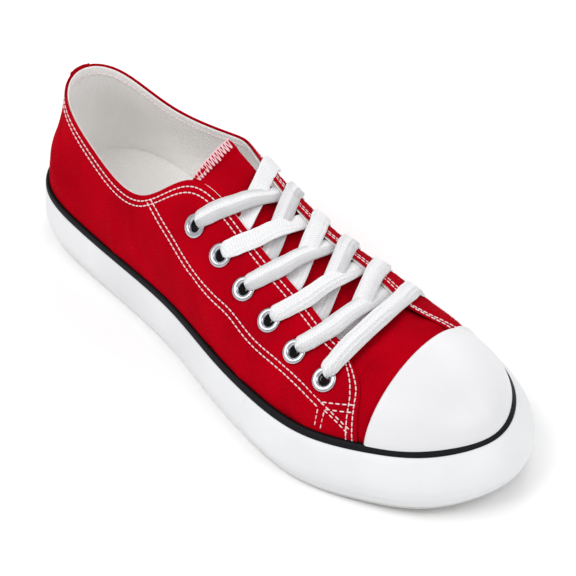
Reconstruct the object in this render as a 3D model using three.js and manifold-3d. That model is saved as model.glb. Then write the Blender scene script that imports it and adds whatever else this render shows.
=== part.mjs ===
// A low canvas lace-up sneaker, the right shoe, standing on its sole.
//
// Working frame: X runs from the back of the heel to the toe, Y points to the inner (medial) side
// and Z up from the ground. Millimetres. The finished group is moved so that the origin lies at the
// bottom centre of its box.
import * as THREE from "three";
import { mergeVertices } from "three/addons/utils/BufferGeometryUtils.js";
import Module from "manifold-3d";

const wasm = await Module();
wasm.setup();

// ---- driving dimensions ----------------------------------------------------------------------
const CLEARANCE = 0.3;          // air left between pieces that touch
const WALL = 1.8;               // canvas and its lining together
const FOXING_WALL = 2.4;        // from the foxing's outer face to the foot of the upper
const FOOTBED = 12.6;           // top of the sole plate inside the foxing
const OUTSOLE = 4.2;            // thickness of the treaded bottom
// The black line is the sidewall's top edge: its width up the wall, and how far it starts below lineZ.
const STRIPE = { width: 2.0, below: 1.4, proud: 0.25 };
const BUMPER = { start: 172, thickness: 0.9, ramp: 18, flat: 12 };
// The cap's rear edge lies in the upright plane x = start - skew * y; gap is the air under it.
const CAP = { start: 220.1, skew: 0.2085, thickness: 1.4, gap: 0.52 };
const INSOLE = { thickness: 3.4, dome: 1.2 };
const THROAT = { end: 212, round: 14, arch: 0.1 };   // arch: share of the crest's height
const TONGUE = { thickness: 2.4, lap: 10, rise: 5, start: 102 };
const EYELET = { count: 6, first: 110.2, pitch: 18.5, fromEdge: 17, outer: 9.8, bore: 5.0, hole: 6.6 };
const LACE = { width: 7.6, thickness: 1.4 };
const TREAD = { width: 3.2, depth: 1.6 };

// One row for each section round the shoe, from heel to toe. x, lateral and medial are the widest
// outline of the sole; lineIn and lineZ place the black line, edgeIn and spring the bottom edge.
// topX, topZ, dropL and dropM give the collar or the throat edge below the crest of the instep,
// openL and openM its distance from the middle (middleY), and lean its slope in degrees.
const COLUMNS = ["name", "x", "lateral", "medial", "lineIn", "edgeIn", "lineZ", "spring",
  "topX", "topZ", "dropL", "dropM", "openL", "openM", "middleY", "lean"];
const SECTIONS = [
  ["heel",         0,  -3.5, -3.5, 0.0, 7.0, 23.5, 2.0,   6.5, 69.0, 0.0,  0.0,  0.0,  0.0,  -3.2, 84],
  ["heel corner", 13, -31.8, 24.1, 0.6, 3.5, 23.5, 0.6,  16.6, 65.4, 0.0,  0.0, 16.8, 16.0,  -3.3, 82],
  ["heel side",   44, -39.4, 31.0, 2.0, 2.2, 22.0, 0.0,  45.0, 56.6, 0.2, -0.2, 23.7, 20.5,  -2.8, 78],
  ["rear waist",  78, -42.0, 29.0, 2.0, 2.0, 21.8, 0.0,  82.3, 58.4, 4.0, -4.0, 28.8, 24.8,  -3.6, 70],
  ["waist",      112, -45.6, 28.0, 2.6, 2.0, 22.4, 0.0, 102.6, 80.0, 4.2,  8.0, 14.8, 16.7,  -5.0, 50],
  ["midfoot",    146, -53.8, 32.0, 3.2, 2.2, 22.6, 0.0, 142.3, 67.6, 4.0,  4.0, 13.5, 13.5,  -9.2, 40],
  ["rear ball",  178, -59.3, 37.6, 4.9, 2.4, 22.8, 0.0, 178.4, 60.2, 4.0,  2.2, 14.9, 16.6, -10.3, 32],
  ["ball",       208, -60.0, 41.2, 6.2, 1.6, 24.0, 0.2, 200.0, 53.6, 3.2,  1.6, 17.2, 17.0, -10.8, 24],
  ["cap",        236, -48.4, 37.3, 7.4, 1.2, 25.6, 1.6, 227.0, 47.6, 0.0,  0.0,  9.5,  9.5,  -8.4,  0],
  ["toe corner", 260, -33.4, 21.4, 8.7, 1.6, 28.8, 4.0, 240.0, 44.0, 0.0,  0.0,  7.0,  7.0,  -6.0,  0],
  ["toe",        272,  -2.9, -2.9, 10.4, 2.6, 28.2, 5.8, 245.0, 41.8, 0.0,  0.0,  0.0,  0.0,  -5.2,  0],
];

// Where each lace crossing passes the throat's edges, as section numbers. A strand comes over its
// own edge beside its eyelet and ends by the far one.
const LACE_COLUMNS = ["lateralOwn", "lateralFar", "medialOwn", "medialFar"];
const LACE_ROWS = [
  [4.55, 4.64, 4.32, 4.75],
  [4.98, 5.04, 4.76, 5.17],
  [5.40, 5.45, 5.20, 5.62],
  [5.93, 5.91, 5.63, 6.20],
  [6.60, 6.54, 6.18, 6.92],
];
const LACE_BAR = { lateral: 7.08, medial: 6.86 };

const LOOP = 2 * SECTIONS.length - 2;   // sections once round the shoe: lateral side, then medial
const TOE = SECTIONS.length - 1;

// ---- curves round the shoe ---------------------------------------------------------------------
const column = (name) => SECTIONS.map((row) => row[COLUMNS.indexOf(name)]);

// A table column as a closed loop of spline weights: lateral side to the toe, medial side back.
function ring(lateral, medial = lateral) {
  const back = medial.slice(1, -1).reverse();
  const v = [...lateral, ...back];
  return v.map((p, i) => p - (v.at(i - 1) - 2 * p + v[(i + 1) % LOOP]) / 6);
}

// Uniform cubic B-spline of a ring at section number s.
function along(weights, s) {
  const p = ((s % LOOP) + LOOP) % LOOP;
  const i = Math.floor(p), u = p - i;
  const b = [(1 - u) ** 3 / 6, (3 * u ** 3 - 6 * u * u + 4) / 6,
    (-3 * u ** 3 + 3 * u * u + 3 * u + 1) / 6, u ** 3 / 6];
  return b.reduce((sum, w, k) => sum + w * weights[(i + k - 1 + LOOP) % LOOP], 0);
}

const negative = (values) => values.map((v) => -v);
const RING = {
  x: ring(column("x")), y: ring(column("lateral"), column("medial")),
  lineIn: ring(column("lineIn")), edgeIn: ring(column("edgeIn")),
  lineZ: ring(column("lineZ")), spring: ring(column("spring")),
  topX: ring(column("topX")), topZ: ring(column("topZ")),
  drop: ring(column("dropL"), column("dropM")), middleY: ring(column("middleY")),
  open: ring(negative(column("openL")), column("openM")), lean: ring(column("lean")),
};
const at = (name, s) => along(RING[name], s);
const spring = (s) => Math.max(0, at("spring", s) - 0.08);   // flat on the ground, heel to ball
const mirror = (s) => (LOOP - s) % LOOP;
const UP = new THREE.Vector3(0, 0, 1);
const vec = (x, y, z) => new THREE.Vector3(x, y, z);

// Outward unit normal of the widest outline, seen from above.
function outward(s) {
  const h = 1e-3;
  const d = vec(at("x", s + h) - at("x", s - h), at("y", s + h) - at("y", s - h), 0).normalize();
  return vec(d.y, -d.x, 0);
}

// ---- sole side wall ----------------------------------------------------------------------------
const widestZ = (s) => 0.42 * at("lineZ", s) + 0.5 * spring(s);
const wallSlope = (s) => 1.6 * at("lineIn", s) / (at("lineZ", s) - widestZ(s));
const stripeHeight = (s) => STRIPE.width / Math.hypot(1, wallSlope(s));
const foxingTop = (s) => at("lineZ", s) - STRIPE.below + stripeHeight(s);

// How far the side wall lies inside the widest outline at height z.
function wallInset(s, z) {
  const mid = widestZ(s), low = spring(s);
  if (z < mid) return at("edgeIn", s) * ((mid - z) / (mid - low)) ** 2;
  return at("lineIn", s) * ((z - mid) / (at("lineZ", s) - mid)) ** 1.6;
}

// A point inset from the widest outline at height z.
function insetPoint(s, inset, z) {
  return vec(at("x", s), at("y", s), z).addScaledVector(outward(s), -inset);
}
const wallPoint = (s, z, extra = 0) => insetPoint(s, wallInset(s, z) + extra, z);

// ---- upper: one skin of ribs, each from the foot line to the collar, throat or crest -------------
const throatWidth = (x) => {
  const t = THREE.MathUtils.clamp((x - THROAT.end + THROAT.round) / THROAT.round, 0, 1);
  return Math.sqrt(1 - t * t);
};

function footPoint(s) {
  return insetPoint(s, wallInset(s, foxingTop(s)) + FOXING_WALL, 13 + 0.5 * spring(s));
}

function topPoint(s) {
  const x = at("topX", s), w = throatWidth(x);
  return vec(x, at("middleY", s) + at("open", s) * w, at("topZ", s) - at("drop", s) * w * w);
}

// Slope of the crest ahead of the throat, so that the ribs that end on it lie in one plane there.
function crestSlope(s) {
  const ahead = s > TOE ? mirror(s) : s, back = ahead - 0.3;
  return (at("topZ", ahead) - at("topZ", back)) / (at("topX", ahead) - at("topX", back));
}

function rib(s) {
  const foot = footPoint(s), top = topPoint(s);
  const rise = top.clone().sub(foot), height = rise.z, chord = rise.length();
  const reach = Math.hypot(rise.x, rise.y), w = throatWidth(at("topX", s));
  const inward = vec(rise.x, rise.y, 0).normalize();
  const lean = THREE.MathUtils.degToRad(at("lean", s));
  const steep = w * Math.sin(lean) / Math.cos(lean) + (1 - w) * crestSlope(s) * inward.x;
  const arrive = inward.addScaledVector(UP, steep).normalize();
  const full = THREE.MathUtils.smoothstep(at("topX", s), 190, 238);   // the toe is fuller
  const flat = Math.hypot(arrive.x, arrive.y);
  const handle = (0.45 + 0.1 * full) * (reach * flat + height * Math.max(arrive.z, 0));
  const low = foot.clone().addScaledVector(UP, (0.5 + 0.2 * full) * height)
    .addScaledVector(outward(s), (0.06 + 0.1 * full) * chord);
  const high = top.clone().addScaledVector(arrive, -handle);
  return new THREE.CubicBezierCurve3(foot, low, high, top);
}

const skin = (s, t) => rib(s).getPoint(t);

function oneSidedNormal(s, t) {
  const tt = THREE.MathUtils.clamp(t, 0.01, 0.985), h = 0.02;
  const du = skin(s + h, tt).sub(skin(s - h, tt));
  const dt = skin(s, Math.min(tt + h, 1)).sub(skin(s, tt - h));
  return du.cross(dt).normalize();
}

// Outward normal of the skin; on the crest ahead of the throat it is shared by both sides.
function skinNormal(s, t) {
  const n = oneSidedNormal(s, t);
  if (t >= 1 && throatWidth(at("topX", s)) === 0) n.add(oneSidedNormal(mirror(s), t)).setY(0);
  return n.normalize();
}
const offsetSkin = (s, t, d) => skin(s, t).addScaledVector(skinNormal(s, t), d);

// Rib parameter where the skin reaches height z, near its foot.
function ribAtHeight(s, z) {
  const curve = rib(s);
  let low = 0, high = 0.7;
  for (let k = 0; k < 30; k++) {
    const t = (low + high) / 2;
    if (curve.getPoint(t).z < z) low = t; else high = t;
  }
  return (low + high) / 2;
}

// Rib parameter at a distance measured down the skin from its top.
function ribBelowTop(s, distance) {
  const curve = rib(s), steps = 80;
  let left = distance, last = curve.getPoint(1);
  for (let k = 1; k <= steps; k++) {
    const p = curve.getPoint(1 - k / steps), d = p.distanceTo(last);
    if (d >= left) return 1 - (k - 1 + left / d) / steps;
    left -= d;
    last = p;
  }
  return 0;
}

// Section number on one side where a table value, always growing toward the toe, reaches x.
function sectionAt(name, x) {
  let low = 2.2, high = TOE - 0.05;
  for (let k = 0; k < 40; k++) {
    const s = (low + high) / 2;
    if (at(name, s) < x) low = s; else high = s;
  }
  return (low + high) / 2;
}

// ---- section numbers used as mesh columns --------------------------------------------------------
const span = (from, to, count) => Array.from({ length: count },
  (_, i) => from + (to - from) * i / count);

const THROAT_S = sectionAt("topX", THROAT.end) + 1e-6;
const throatEnd = [0.9, 0.7, 0.35].map((w) =>
  sectionAt("topX", THROAT.end - THROAT.round * (1 - Math.sqrt(1 - w * w))));
const REAR = [...span(0, 3, 11), ...span(3, throatEnd[0], 15)];
const FRONT = [...span(THROAT_S, TOE, 11), TOE];
const UPPER_HALF = [...REAR, ...throatEnd, ...FRONT];
const SOLE_HALF = [...REAR, throatEnd[1], ...FRONT];
const around = (half) => [...half, ...half.slice(1, -1).reverse().map(mirror)];

// ---- mesh building -------------------------------------------------------------------------------
class Builder {
  constructor() { this.points = []; }
  triangle(a, b, c) {
    if (a.distanceTo(b) < 1e-6 || b.distanceTo(c) < 1e-6 || c.distanceTo(a) < 1e-6) return;
    for (const p of [a, b, c]) this.points.push(p.x, p.y, p.z);
  }
  // Split along the shorter diagonal, so that offsets of one surface fold alike.
  quad(a, b, c, d) {
    const first = a.distanceTo(c) <= b.distanceTo(d);
    this.triangle(a, b, first ? c : d);
    if (first) this.triangle(a, c, d); else this.triangle(b, c, d);
  }
  // Rows of points joined into a band; closed joins the last row to the first.
  band(rows, closed) {
    const last = closed ? rows.length : rows.length - 1;
    for (let i = 0; i < last; i++) {
      const a = rows[i], b = rows[(i + 1) % rows.length];
      for (let j = 0; j + 1 < a.length; j++) this.quad(a[j], b[j], b[j + 1], a[j + 1]);
    }
  }
  // Fills a loop round the shoe with strips straight across from lateral to medial columns.
  across(loop, up) {
    const n = loop.length, half = n / 2;
    for (let i = 0; i < half; i++) {
      const a = loop[i], b = loop[i + 1], c = loop[(n - i - 1) % n], d = loop[(n - i) % n];
      if (up) this.quad(a, b, c, d); else this.quad(d, c, b, a);
    }
  }
  geometry() {
    const g = new THREE.BufferGeometry();
    g.setAttribute("position", new THREE.Float32BufferAttribute(this.points, 3));
    return mergeVertices(g, 1e-4);
  }
}

// A plate round the whole shoe: profile(s) runs from its bottom face round the side to its top face.
function plate(half, profile) {
  const rows = around(half).map(profile), builder = new Builder();
  builder.band(rows, true);
  builder.across(rows.map((r) => r[0]), false);
  builder.across(rows.map((r) => r.at(-1)), true);
  return builder.geometry();
}

// A bar of changing section: each section is a closed polygon with an even number of corners,
// and the ends are flat, filled between the section's two halves.
function bar(sections, closed = false) {
  const builder = new Builder();
  builder.band(sections.map((s) => [...s, s[0]]), closed);
  if (!closed) {
    const first = sections[0], last = sections.at(-1), n = first.length;
    for (let j = 0; j < n / 2 - 1; j++) {
      const [b, c, d] = [j + 1, n - 2 - j, n - 1 - j];
      builder.quad(first[j], first[b], first[c], first[d]);
      builder.quad(last[d], last[c], last[b], last[j]);
    }
  }
  return builder.geometry();
}

// A sheet with thickness: two grids of the same size, outer and inner, closed round the edge.
function slab(outer, inner) {
  const builder = new Builder(), rows = outer.length - 1, cols = outer[0].length - 1;
  builder.band(outer, false);
  builder.band(inner.map((r) => [...r].reverse()), false);
  for (let i = 0; i < rows; i++) {
    builder.quad(outer[i][0], inner[i][0], inner[i + 1][0], outer[i + 1][0]);
    builder.quad(outer[i + 1][cols], inner[i + 1][cols], inner[i][cols], outer[i][cols]);
  }
  for (let j = 0; j < cols; j++) {
    builder.quad(outer[0][j + 1], inner[0][j + 1], inner[0][j], outer[0][j]);
    builder.quad(outer[rows][j], inner[rows][j], inner[rows][j + 1], outer[rows][j + 1]);
  }
  return builder.geometry();
}

function toSolid(geometry) {
  const g = geometry.index ? geometry.clone() : geometry;
  for (const name of Object.keys(g.attributes)) if (name !== "position") g.deleteAttribute(name);
  const m = mergeVertices(g, 1e-4);
  return new wasm.Manifold(new wasm.Mesh({ numProp: 3,
    vertProperties: new Float32Array(m.attributes.position.array),
    triVerts: new Uint32Array(m.index.array) }));
}

function fromSolid(solid) {
  const mesh = solid.getMesh(), g = new THREE.BufferGeometry();
  g.setAttribute("position", new THREE.BufferAttribute(new Float32Array(mesh.vertProperties), 3));
  g.setIndex(new THREE.BufferAttribute(new Uint32Array(mesh.triVerts), 1));
  return g;
}

// ---- eyelet places -------------------------------------------------------------------------------
function eyeletPlace(s) {
  const t = ribBelowTop(s, EYELET.fromEdge);
  return { point: skin(s, t), normal: skinNormal(s, t) };
}

// The lateral eyelets, a pitch apart along their row.
function lateralPlaces() {
  let s = sectionAt("topX", EYELET.first);
  const places = [eyeletPlace(s)];
  while (places.length < EYELET.count) {
    while (eyeletPlace(s).point.distanceTo(places.at(-1).point) < EYELET.pitch) s += 0.004;
    places.push(eyeletPlace(s));
  }
  return places;
}

// The medial eyelet across from a lateral one, in an upright plane parallel to the cap's rear edge.
function placeAcross({ point }) {
  const plane = (p) => p.x + CAP.skew * p.y;
  let low = 3.3, high = 7.3;
  for (let k = 0; k < 30; k++) {
    const s = (low + high) / 2;
    if (plane(eyeletPlace(mirror(s)).point) < plane(point)) low = s; else high = s;
  }
  return eyeletPlace(mirror((low + high) / 2));
}
const PLACES = { lateral: lateralPlaces() };
PLACES.medial = PLACES.lateral.map(placeAcross);

// ---- pieces --------------------------------------------------------------------------------------
function outsole() {
  const profile = (s) => {
    const z = spring(s);
    return [wallPoint(s, z, 1.2), wallPoint(s, z + 0.9, 0.3), wallPoint(s, z + OUTSOLE, 0.3)];
  };
  let solid = toSolid(plate(SOLE_HALF, profile));
  const grooves = [22, 34, 46, 58, 150, 162, 174, 186, 198, 210];
  for (const x of grooves) {
    const cut = new THREE.BoxGeometry(TREAD.width, 130, 2 * TREAD.depth);
    cut.translate(x, 0, 0);
    solid = solid.subtract(toSolid(cut));
  }
  return fromSolid(solid);
}

// How far the foxing steps in under the toe bumper.
function bumperStep(s) {
  const from = BUMPER.start - BUMPER.flat - BUMPER.ramp;
  const t = THREE.MathUtils.clamp((at("x", s) - from) / BUMPER.ramp, 0, 1);
  return (BUMPER.thickness + CLEARANCE + 0.12) * t;
}

// Points on the upper's outer face, kept clear of it, at two heights inside the foxing.
function innerFace(s, high, low) {
  return [high, low].map((z) => offsetSkin(s, ribAtHeight(s, z), CLEARANCE + 0.2).setZ(z));
}

function sidewall() {
  return plate(SOLE_HALF, (s) => {
    const low = spring(s) + OUTSOLE + CLEARANCE, mid = widestZ(s), step = bumperStep(s);
    const top = foxingTop(s) - stripeHeight(s) - CLEARANCE, bed = FOOTBED + 0.5 * spring(s);
    return [
      wallPoint(s, low, step + 0.3), wallPoint(s, mid, step),
      wallPoint(s, (mid + top) / 2, step), wallPoint(s, top, step),
      ...innerFace(s, top, bed + 0.4).map((p, i) => (i ? p.setZ(bed) : p)),
    ];
  });
}

function stripe() {
  return bar(around(SOLE_HALF).map((s) => {
    const high = foxingTop(s), low = high - stripeHeight(s);
    const [innerHigh, innerLow] = innerFace(s, high, low);
    return [innerLow, wallPoint(s, low, -STRIPE.proud), wallPoint(s, high, -STRIPE.proud),
      innerHigh];
  }), true);
}

function bumper() {
  const first = sectionAt("x", BUMPER.start);
  const half = [first, ...SOLE_HALF.filter((s) => s > first + 0.05)];
  const sections = [...half, ...half.slice(0, -1).reverse().map(mirror)].map((s) => {
    const low = spring(s) + OUTSOLE + 0.8, mid = widestZ(s);
    const high = foxingTop(s) - stripeHeight(s) - 2 * CLEARANCE;
    const heights = [low, mid, (mid + high) / 2, high], deep = BUMPER.thickness;
    return [...heights.map((z) => wallPoint(s, z)),
      ...heights.reverse().map((z) => wallPoint(s, z, deep))];
  });
  return bar(sections);
}

// Rib parameters of the upper's rows: its foot, the foxing's top and equal steps above it.
const UPPER_ROWS = 8;
function rowsOf(s, above = CLEARANCE) {
  const t0 = ribAtHeight(s, foxingTop(s) + above);
  const rows = Array.from({ length: UPPER_ROWS + 1 }, (_, j) => t0 + (1 - t0) * j / UPPER_ROWS);
  rows[UPPER_ROWS] = 1;
  return [0, ...rows];
}

function upper() {
  const columns = around(UPPER_HALF), builder = new Builder(), n = columns.length;
  const grid = (d) => columns.map((s) => rowsOf(s).map((t) => offsetSkin(s, t, d)));
  const outer = grid(0), inner = grid(-WALL), top = outer[0].length - 1;
  const crest = columns.map((s) => throatWidth(at("topX", s)) === 0);
  for (let i = 0; i < n / 2; i++) {
    if (!crest[i]) continue;
    for (const g of [outer, inner]) {
      const shared = g[i][top].clone().add(g[(n - i) % n][top]).multiplyScalar(0.5);
      g[i][top].copy(shared);
      g[(n - i) % n][top].copy(shared);
    }
  }
  builder.band(outer, true);
  builder.band(inner.map((r) => [...r].reverse()), true);
  for (let i = 0; i < n; i++) {
    const j = (i + 1) % n;
    builder.quad(outer[j][0], outer[i][0], inner[i][0], inner[j][0]);
    if (crest[i] && crest[j]) continue;
    builder.quad(outer[i][top], outer[j][top], inner[j][top], inner[i][top]);
  }
  let solid = toSolid(builder.geometry());
  for (const { point, normal } of [...PLACES.lateral, ...PLACES.medial]) {
    const drill = new THREE.CylinderGeometry(EYELET.hole / 2, EYELET.hole / 2, 12, 12);
    drill.applyQuaternion(new THREE.Quaternion().setFromUnitVectors(vec(0, 1, 0), normal));
    drill.translate(point.x, point.y, point.z);
    solid = solid.subtract(toSolid(drill));
  }
  return fromSolid(solid);
}

// Section number where the skin at rib parameter t meets the plane of the cap's rear edge; on the
// medial side (side = 1) it is that of the mirrored section.
function capEdge(side, t) {
  let low = 6.5, high = 8.6;
  for (let k = 0; k < 30; k++) {
    const s = (low + high) / 2, p = skin(side < 0 ? s : mirror(s), t);
    if (p.x + CAP.skew * p.y < CAP.start) low = s; else high = s;
  }
  return (low + high) / 2;
}

// The toe cap is the skin ahead of that plane, between two offsets of the upper.
function toeCap() {
  const usual = rowsOf(8, 1).slice(1), steps = 12;
  const columns = (side) => Array.from({ length: steps + 1 }, (_, i) => usual.map((t, j) => {
    const s = THREE.MathUtils.lerp(capEdge(side, t), TOE, i / steps);
    return { s: side < 0 ? s : mirror(s), t: rowsOf(s, 1)[j + 1] };
  }));
  const all = [...columns(-1), ...columns(1).slice(0, -1).reverse()], n = all.length - 1;
  const grid = (d) => all.map((column) => column.map(({ s, t }) => offsetSkin(s, t, d)));
  const outer = grid(CAP.gap + CAP.thickness), inner = grid(CAP.gap);
  const top = outer[0].length - 1, builder = new Builder();
  for (let i = 0; i < n / 2; i++) {
    for (const g of [outer, inner]) {
      const shared = g[i][top].clone().add(g[n - i][top]).multiplyScalar(0.5);
      g[i][top].copy(shared);
      g[n - i][top].copy(shared);
    }
  }
  builder.band(outer, false);
  builder.band(inner.map((r) => [...r].reverse()), false);
  for (let i = 0; i < n; i++) {
    builder.quad(outer[i + 1][0], outer[i][0], inner[i][0], inner[i + 1][0]);
  }
  for (let j = 0; j < top; j++) {
    builder.quad(outer[0][j], outer[0][j + 1], inner[0][j + 1], inner[0][j]);
    builder.quad(outer[n][j + 1], outer[n][j], inner[n][j], inner[n][j + 1]);
  }
  return builder.geometry();
}

function insole() {
  const profile = (s) => {
    const z = 13 + 0.5 * spring(s), inset = wallInset(s, foxingTop(s)) + FOXING_WALL;
    const edge = inset + WALL + 1.2;
    return [insetPoint(s, edge, z + 0.1), insetPoint(s, edge - 0.4, z + 1.5),
      insetPoint(s, edge - 0.2, z + INSOLE.thickness),
      insetPoint(s, edge + 9, z + INSOLE.thickness - INSOLE.dome * 0.5)];
  };
  return plate(SOLE_HALF, profile);
}

// A crosswise line over the instep: down under one eyestay, over the opening, under the other.
function instepLine(s, lap, count) {
  const under = (side, d) => {
    const q = side < 0 ? s : mirror(s), t = ribBelowTop(q, d);
    return { point: skin(q, t), normal: skinNormal(q, t) };
  };
  const lateral = topPoint(s), medial = topPoint(mirror(s)), over = [];
  const arch = THROAT.arch * (at("topZ", s) - (lateral.z + medial.z) / 2);
  for (let j = 0; j <= count; j++) {
    const v = 2 * j / count - 1;
    const point = lateral.clone().lerp(medial, j / count).addScaledVector(UP, arch * (1 - v * v));
    const normal = skinNormal(s, 1).lerp(skinNormal(mirror(s), 1), j / count).normalize();
    over.push({ point, normal });
  }
  return [under(-1, lap), under(-1, lap / 2), ...over, under(1, lap / 2), under(1, lap)];
}

// The tongue lies under both eyestays and stands a little above the top of the lacing.
function tongue() {
  const first = sectionAt("topX", TONGUE.start), end = FRONT[1];
  const stations = [first, ...UPPER_HALF.filter((s) => s > first + 0.1 && s <= end)];
  const lap = (s) => Math.min(TONGUE.lap, 2 + 16 * (s - first));
  const gap = WALL + CLEARANCE + 0.5, rows = stations.map((s) => instepLine(s, lap(s), 4));
  const grid = (d) => rows.map((r) => r.map((q) => q.point.clone().addScaledVector(q.normal, d)));
  const outer = grid(-gap), inner = grid(-gap - TONGUE.thickness);
  for (const g of [outer, inner]) {
    const n = g[0].length - 1, middle = g[0][0].clone().lerp(g[0][n], 0.5);
    g.unshift(g[0].map((p, j) => {
      const rise = TONGUE.rise * (0.8 + 0.2 * Math.sin(Math.PI * j / n));
      return p.clone().lerp(middle, 0.12).add(vec(-0.62, 0, 0.78).multiplyScalar(rise));
    }));
  }
  return slab(outer, inner);
}

// Eyelet: a rolled flange outside and a short barrel through the canvas.
function eyelet(place) {
  const r = EYELET.bore / 2, flange = EYELET.outer / 2, low = -WALL - 0.3;
  const profile = [[r, low], [r + 0.4, low], [r + 0.4, CLEARANCE + 0.15], [flange, CLEARANCE + 0.15],
    [flange, 0.8], [r + 0.9, 1.3], [r, 0.9], [r, low]].map(([x, y]) => new THREE.Vector2(x, y));
  const g = new THREE.LatheGeometry(profile, 10);
  g.applyQuaternion(new THREE.Quaternion().setFromUnitVectors(vec(0, 1, 0), place.normal));
  g.translate(place.point.x, place.point.y, place.point.z);
  return g;
}

// A flat lace along a list of {point, normal}, lying with its width across the path.
function lace(path) {
  const w = LACE.width / 2, h = LACE.thickness, n = path.length - 1;
  return bar(path.map(({ point, normal }, i) => {
    const a = path[Math.max(i - 1, 0)].point, b = path[Math.min(i + 1, n)].point;
    const side = b.clone().sub(a).cross(normal).normalize().multiplyScalar(w);
    const low = point.clone(), high = point.clone().addScaledVector(normal, h);
    return [low.clone().sub(side), low.clone().add(side), high.clone().add(side),
      high.clone().sub(side)];
  }));
}

const lift = ({ point, normal }, d) => ({ point: point.clone().addScaledVector(normal, d), normal });

const between = (a, b, f) => ({ point: a.point.clone().lerp(b.point, f),
  normal: a.normal.clone().lerp(b.normal, f).normalize() });

// The throat's edge at a section number, on either side, where the lace turns over it.
function edgePlace(name, s) {
  const q = name === "lateral" ? s : mirror(s);
  return { point: topPoint(q), normal: skinNormal(q, 1).add(UP).normalize() };
}

// One lace from over its eyelet, across the throat, to just short of the opposite edge. The strand
// underneath in the last crossing stops behind the bar.
function strand(name, k, over) {
  const row = (end) => LACE_ROWS[k][LACE_COLUMNS.indexOf(name + end)];
  const from = PLACES[name][k], edge = edgePlace(name, row("Own"));
  const far = edgePlace(name === "lateral" ? "medial" : "lateral", row("Far"));
  const short = !over && k + 1 === LACE_ROWS.length, stop = short ? 0.66 : over ? 0.82 : 0.87;
  const climbs = over ? [2.0, 2.4, 1.7] : [1.5, 1.2, 1.1];
  const path = [lift(from, 2.1), lift(between(from, edge, 0.5), 3.3), lift(edge, 1.9)];
  climbs.forEach((d, i) => path.push(lift(between(edge, far, (i + 1) / 4 * stop), d)));
  path.push(lift(between(edge, far, stop), short ? 0.9 : over ? -0.4 : 0));
  return lace(path);
}

function laceCrossing(k) {
  return fromSolid(toSolid(strand("medial", k, false)).add(toSolid(strand("lateral", k, true))));
}

function laceBar() {
  const ends = ["lateral", "medial"].map((name) => {
    const from = PLACES[name].at(-1), edge = edgePlace(name, LACE_BAR[name]);
    return [lift(from, 2.1), lift(between(from, edge, 0.5), 3.0), lift(edge, 1.6)];
  });
  const [lateral, medial] = ends, over = [0.25, 0.5, 0.75].map((f) =>
    lift(between(lateral[2], medial[2], f), 0.3));
  return lace([...lateral, ...over, ...medial.reverse()]);
}

// ---- materials and assembly ------------------------------------------------------------------------
const material = (color, roughness, metalness = 0) =>
  new THREE.MeshStandardMaterial({ color, roughness, metalness });
const LOOK = {
  canvas: material(0xb8001c, 0.9), rubber: material(0xe9e9ea, 0.45), cap: material(0xf2f2f2, 0.35),
  line: material(0x20242b, 0.5), lining: material(0xdedad4, 0.95), lace: material(0xf2f2f3, 0.85),
  metal: material(0xb9bcc0, 0.25, 1), tread: material(0xdcdcda, 0.6),
};

const shoe = new THREE.Group();
function add(name, geometry, look) {
  const mesh = new THREE.Mesh(geometry, look);
  mesh.name = name;
  shoe.add(mesh);
}
add("outsole", outsole(), LOOK.tread);
add("foxing", sidewall(), LOOK.rubber);
add("foxing_stripe", stripe(), LOOK.line);
add("toe_bumper", bumper(), LOOK.rubber);
add("toe_cap", toeCap(), LOOK.cap);
add("upper", upper(), LOOK.canvas);
add("tongue", tongue(), LOOK.canvas);
add("insole", insole(), LOOK.lining);
for (const side of ["lateral", "medial"]) {
  PLACES[side].forEach((place, k) => add(`eyelet_${side}_${k + 1}`, eyelet(place), LOOK.metal));
}
for (let k = 0; k < LACE_ROWS.length; k++) add(`lace_crossing_${k + 1}`, laceCrossing(k), LOOK.lace);
add("lace_bar", laceBar(), LOOK.lace);

const box = new THREE.Box3().setFromObject(shoe), middle = box.getCenter(new THREE.Vector3());
shoe.position.set(-middle.x, -middle.y, -box.min.z);

export default shoe;
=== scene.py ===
"""A low canvas lace-up sneaker, the right shoe: its looks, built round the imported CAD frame.

The shoe is worked out in millimetres in its own section frame: X from the back of the heel to the
toe, Y to the inner (medial) side, Z up. place() turns that into the part's frame, in metres.
"""

import math

import bpy
import numpy as np
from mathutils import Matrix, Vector


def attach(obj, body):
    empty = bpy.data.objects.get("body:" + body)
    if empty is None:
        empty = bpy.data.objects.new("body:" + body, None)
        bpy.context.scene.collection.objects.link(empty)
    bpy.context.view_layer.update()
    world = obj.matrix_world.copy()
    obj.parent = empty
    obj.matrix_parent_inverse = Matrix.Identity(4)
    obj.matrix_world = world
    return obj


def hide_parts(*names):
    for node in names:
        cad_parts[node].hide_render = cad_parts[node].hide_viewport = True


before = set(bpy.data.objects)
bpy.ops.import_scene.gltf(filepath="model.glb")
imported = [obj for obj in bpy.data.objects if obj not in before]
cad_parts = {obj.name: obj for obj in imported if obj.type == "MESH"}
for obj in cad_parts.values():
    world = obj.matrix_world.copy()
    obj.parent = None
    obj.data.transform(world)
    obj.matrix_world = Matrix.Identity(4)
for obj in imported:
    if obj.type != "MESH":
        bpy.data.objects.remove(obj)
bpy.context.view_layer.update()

# ---- driving sizes, millimetres ----------------------------------------------------------------
MIDDLE = (135.773, -9.819, 0.0)   # centre of the shoe's box in the section frame
FOXING_WALL = 2.4                 # from the sidewall's outer face to the foot of the upper
FOXING_INNER = 3.0                # from its outer face to its inner one
FOOT = 13.0                       # height of the upper's foot line, and of the insole's underside
OUTSOLE = 4.2                     # thickness of the treaded bottom
SOLE_LIP = 1.5                    # how much of it shows below the sidewall
STRIPE = {"width": 2.0, "below": 1.4}   # the black line: width up the wall, start below lineZ
THROAT_END, THROAT_ROUND = 212.0, 14.0
BUMPER_START = 172.0
CANVAS = {"thickness": 0.95, "lift": 0.15, "tuck": 2.2}   # lift over the skin, tuck behind the line
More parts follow.
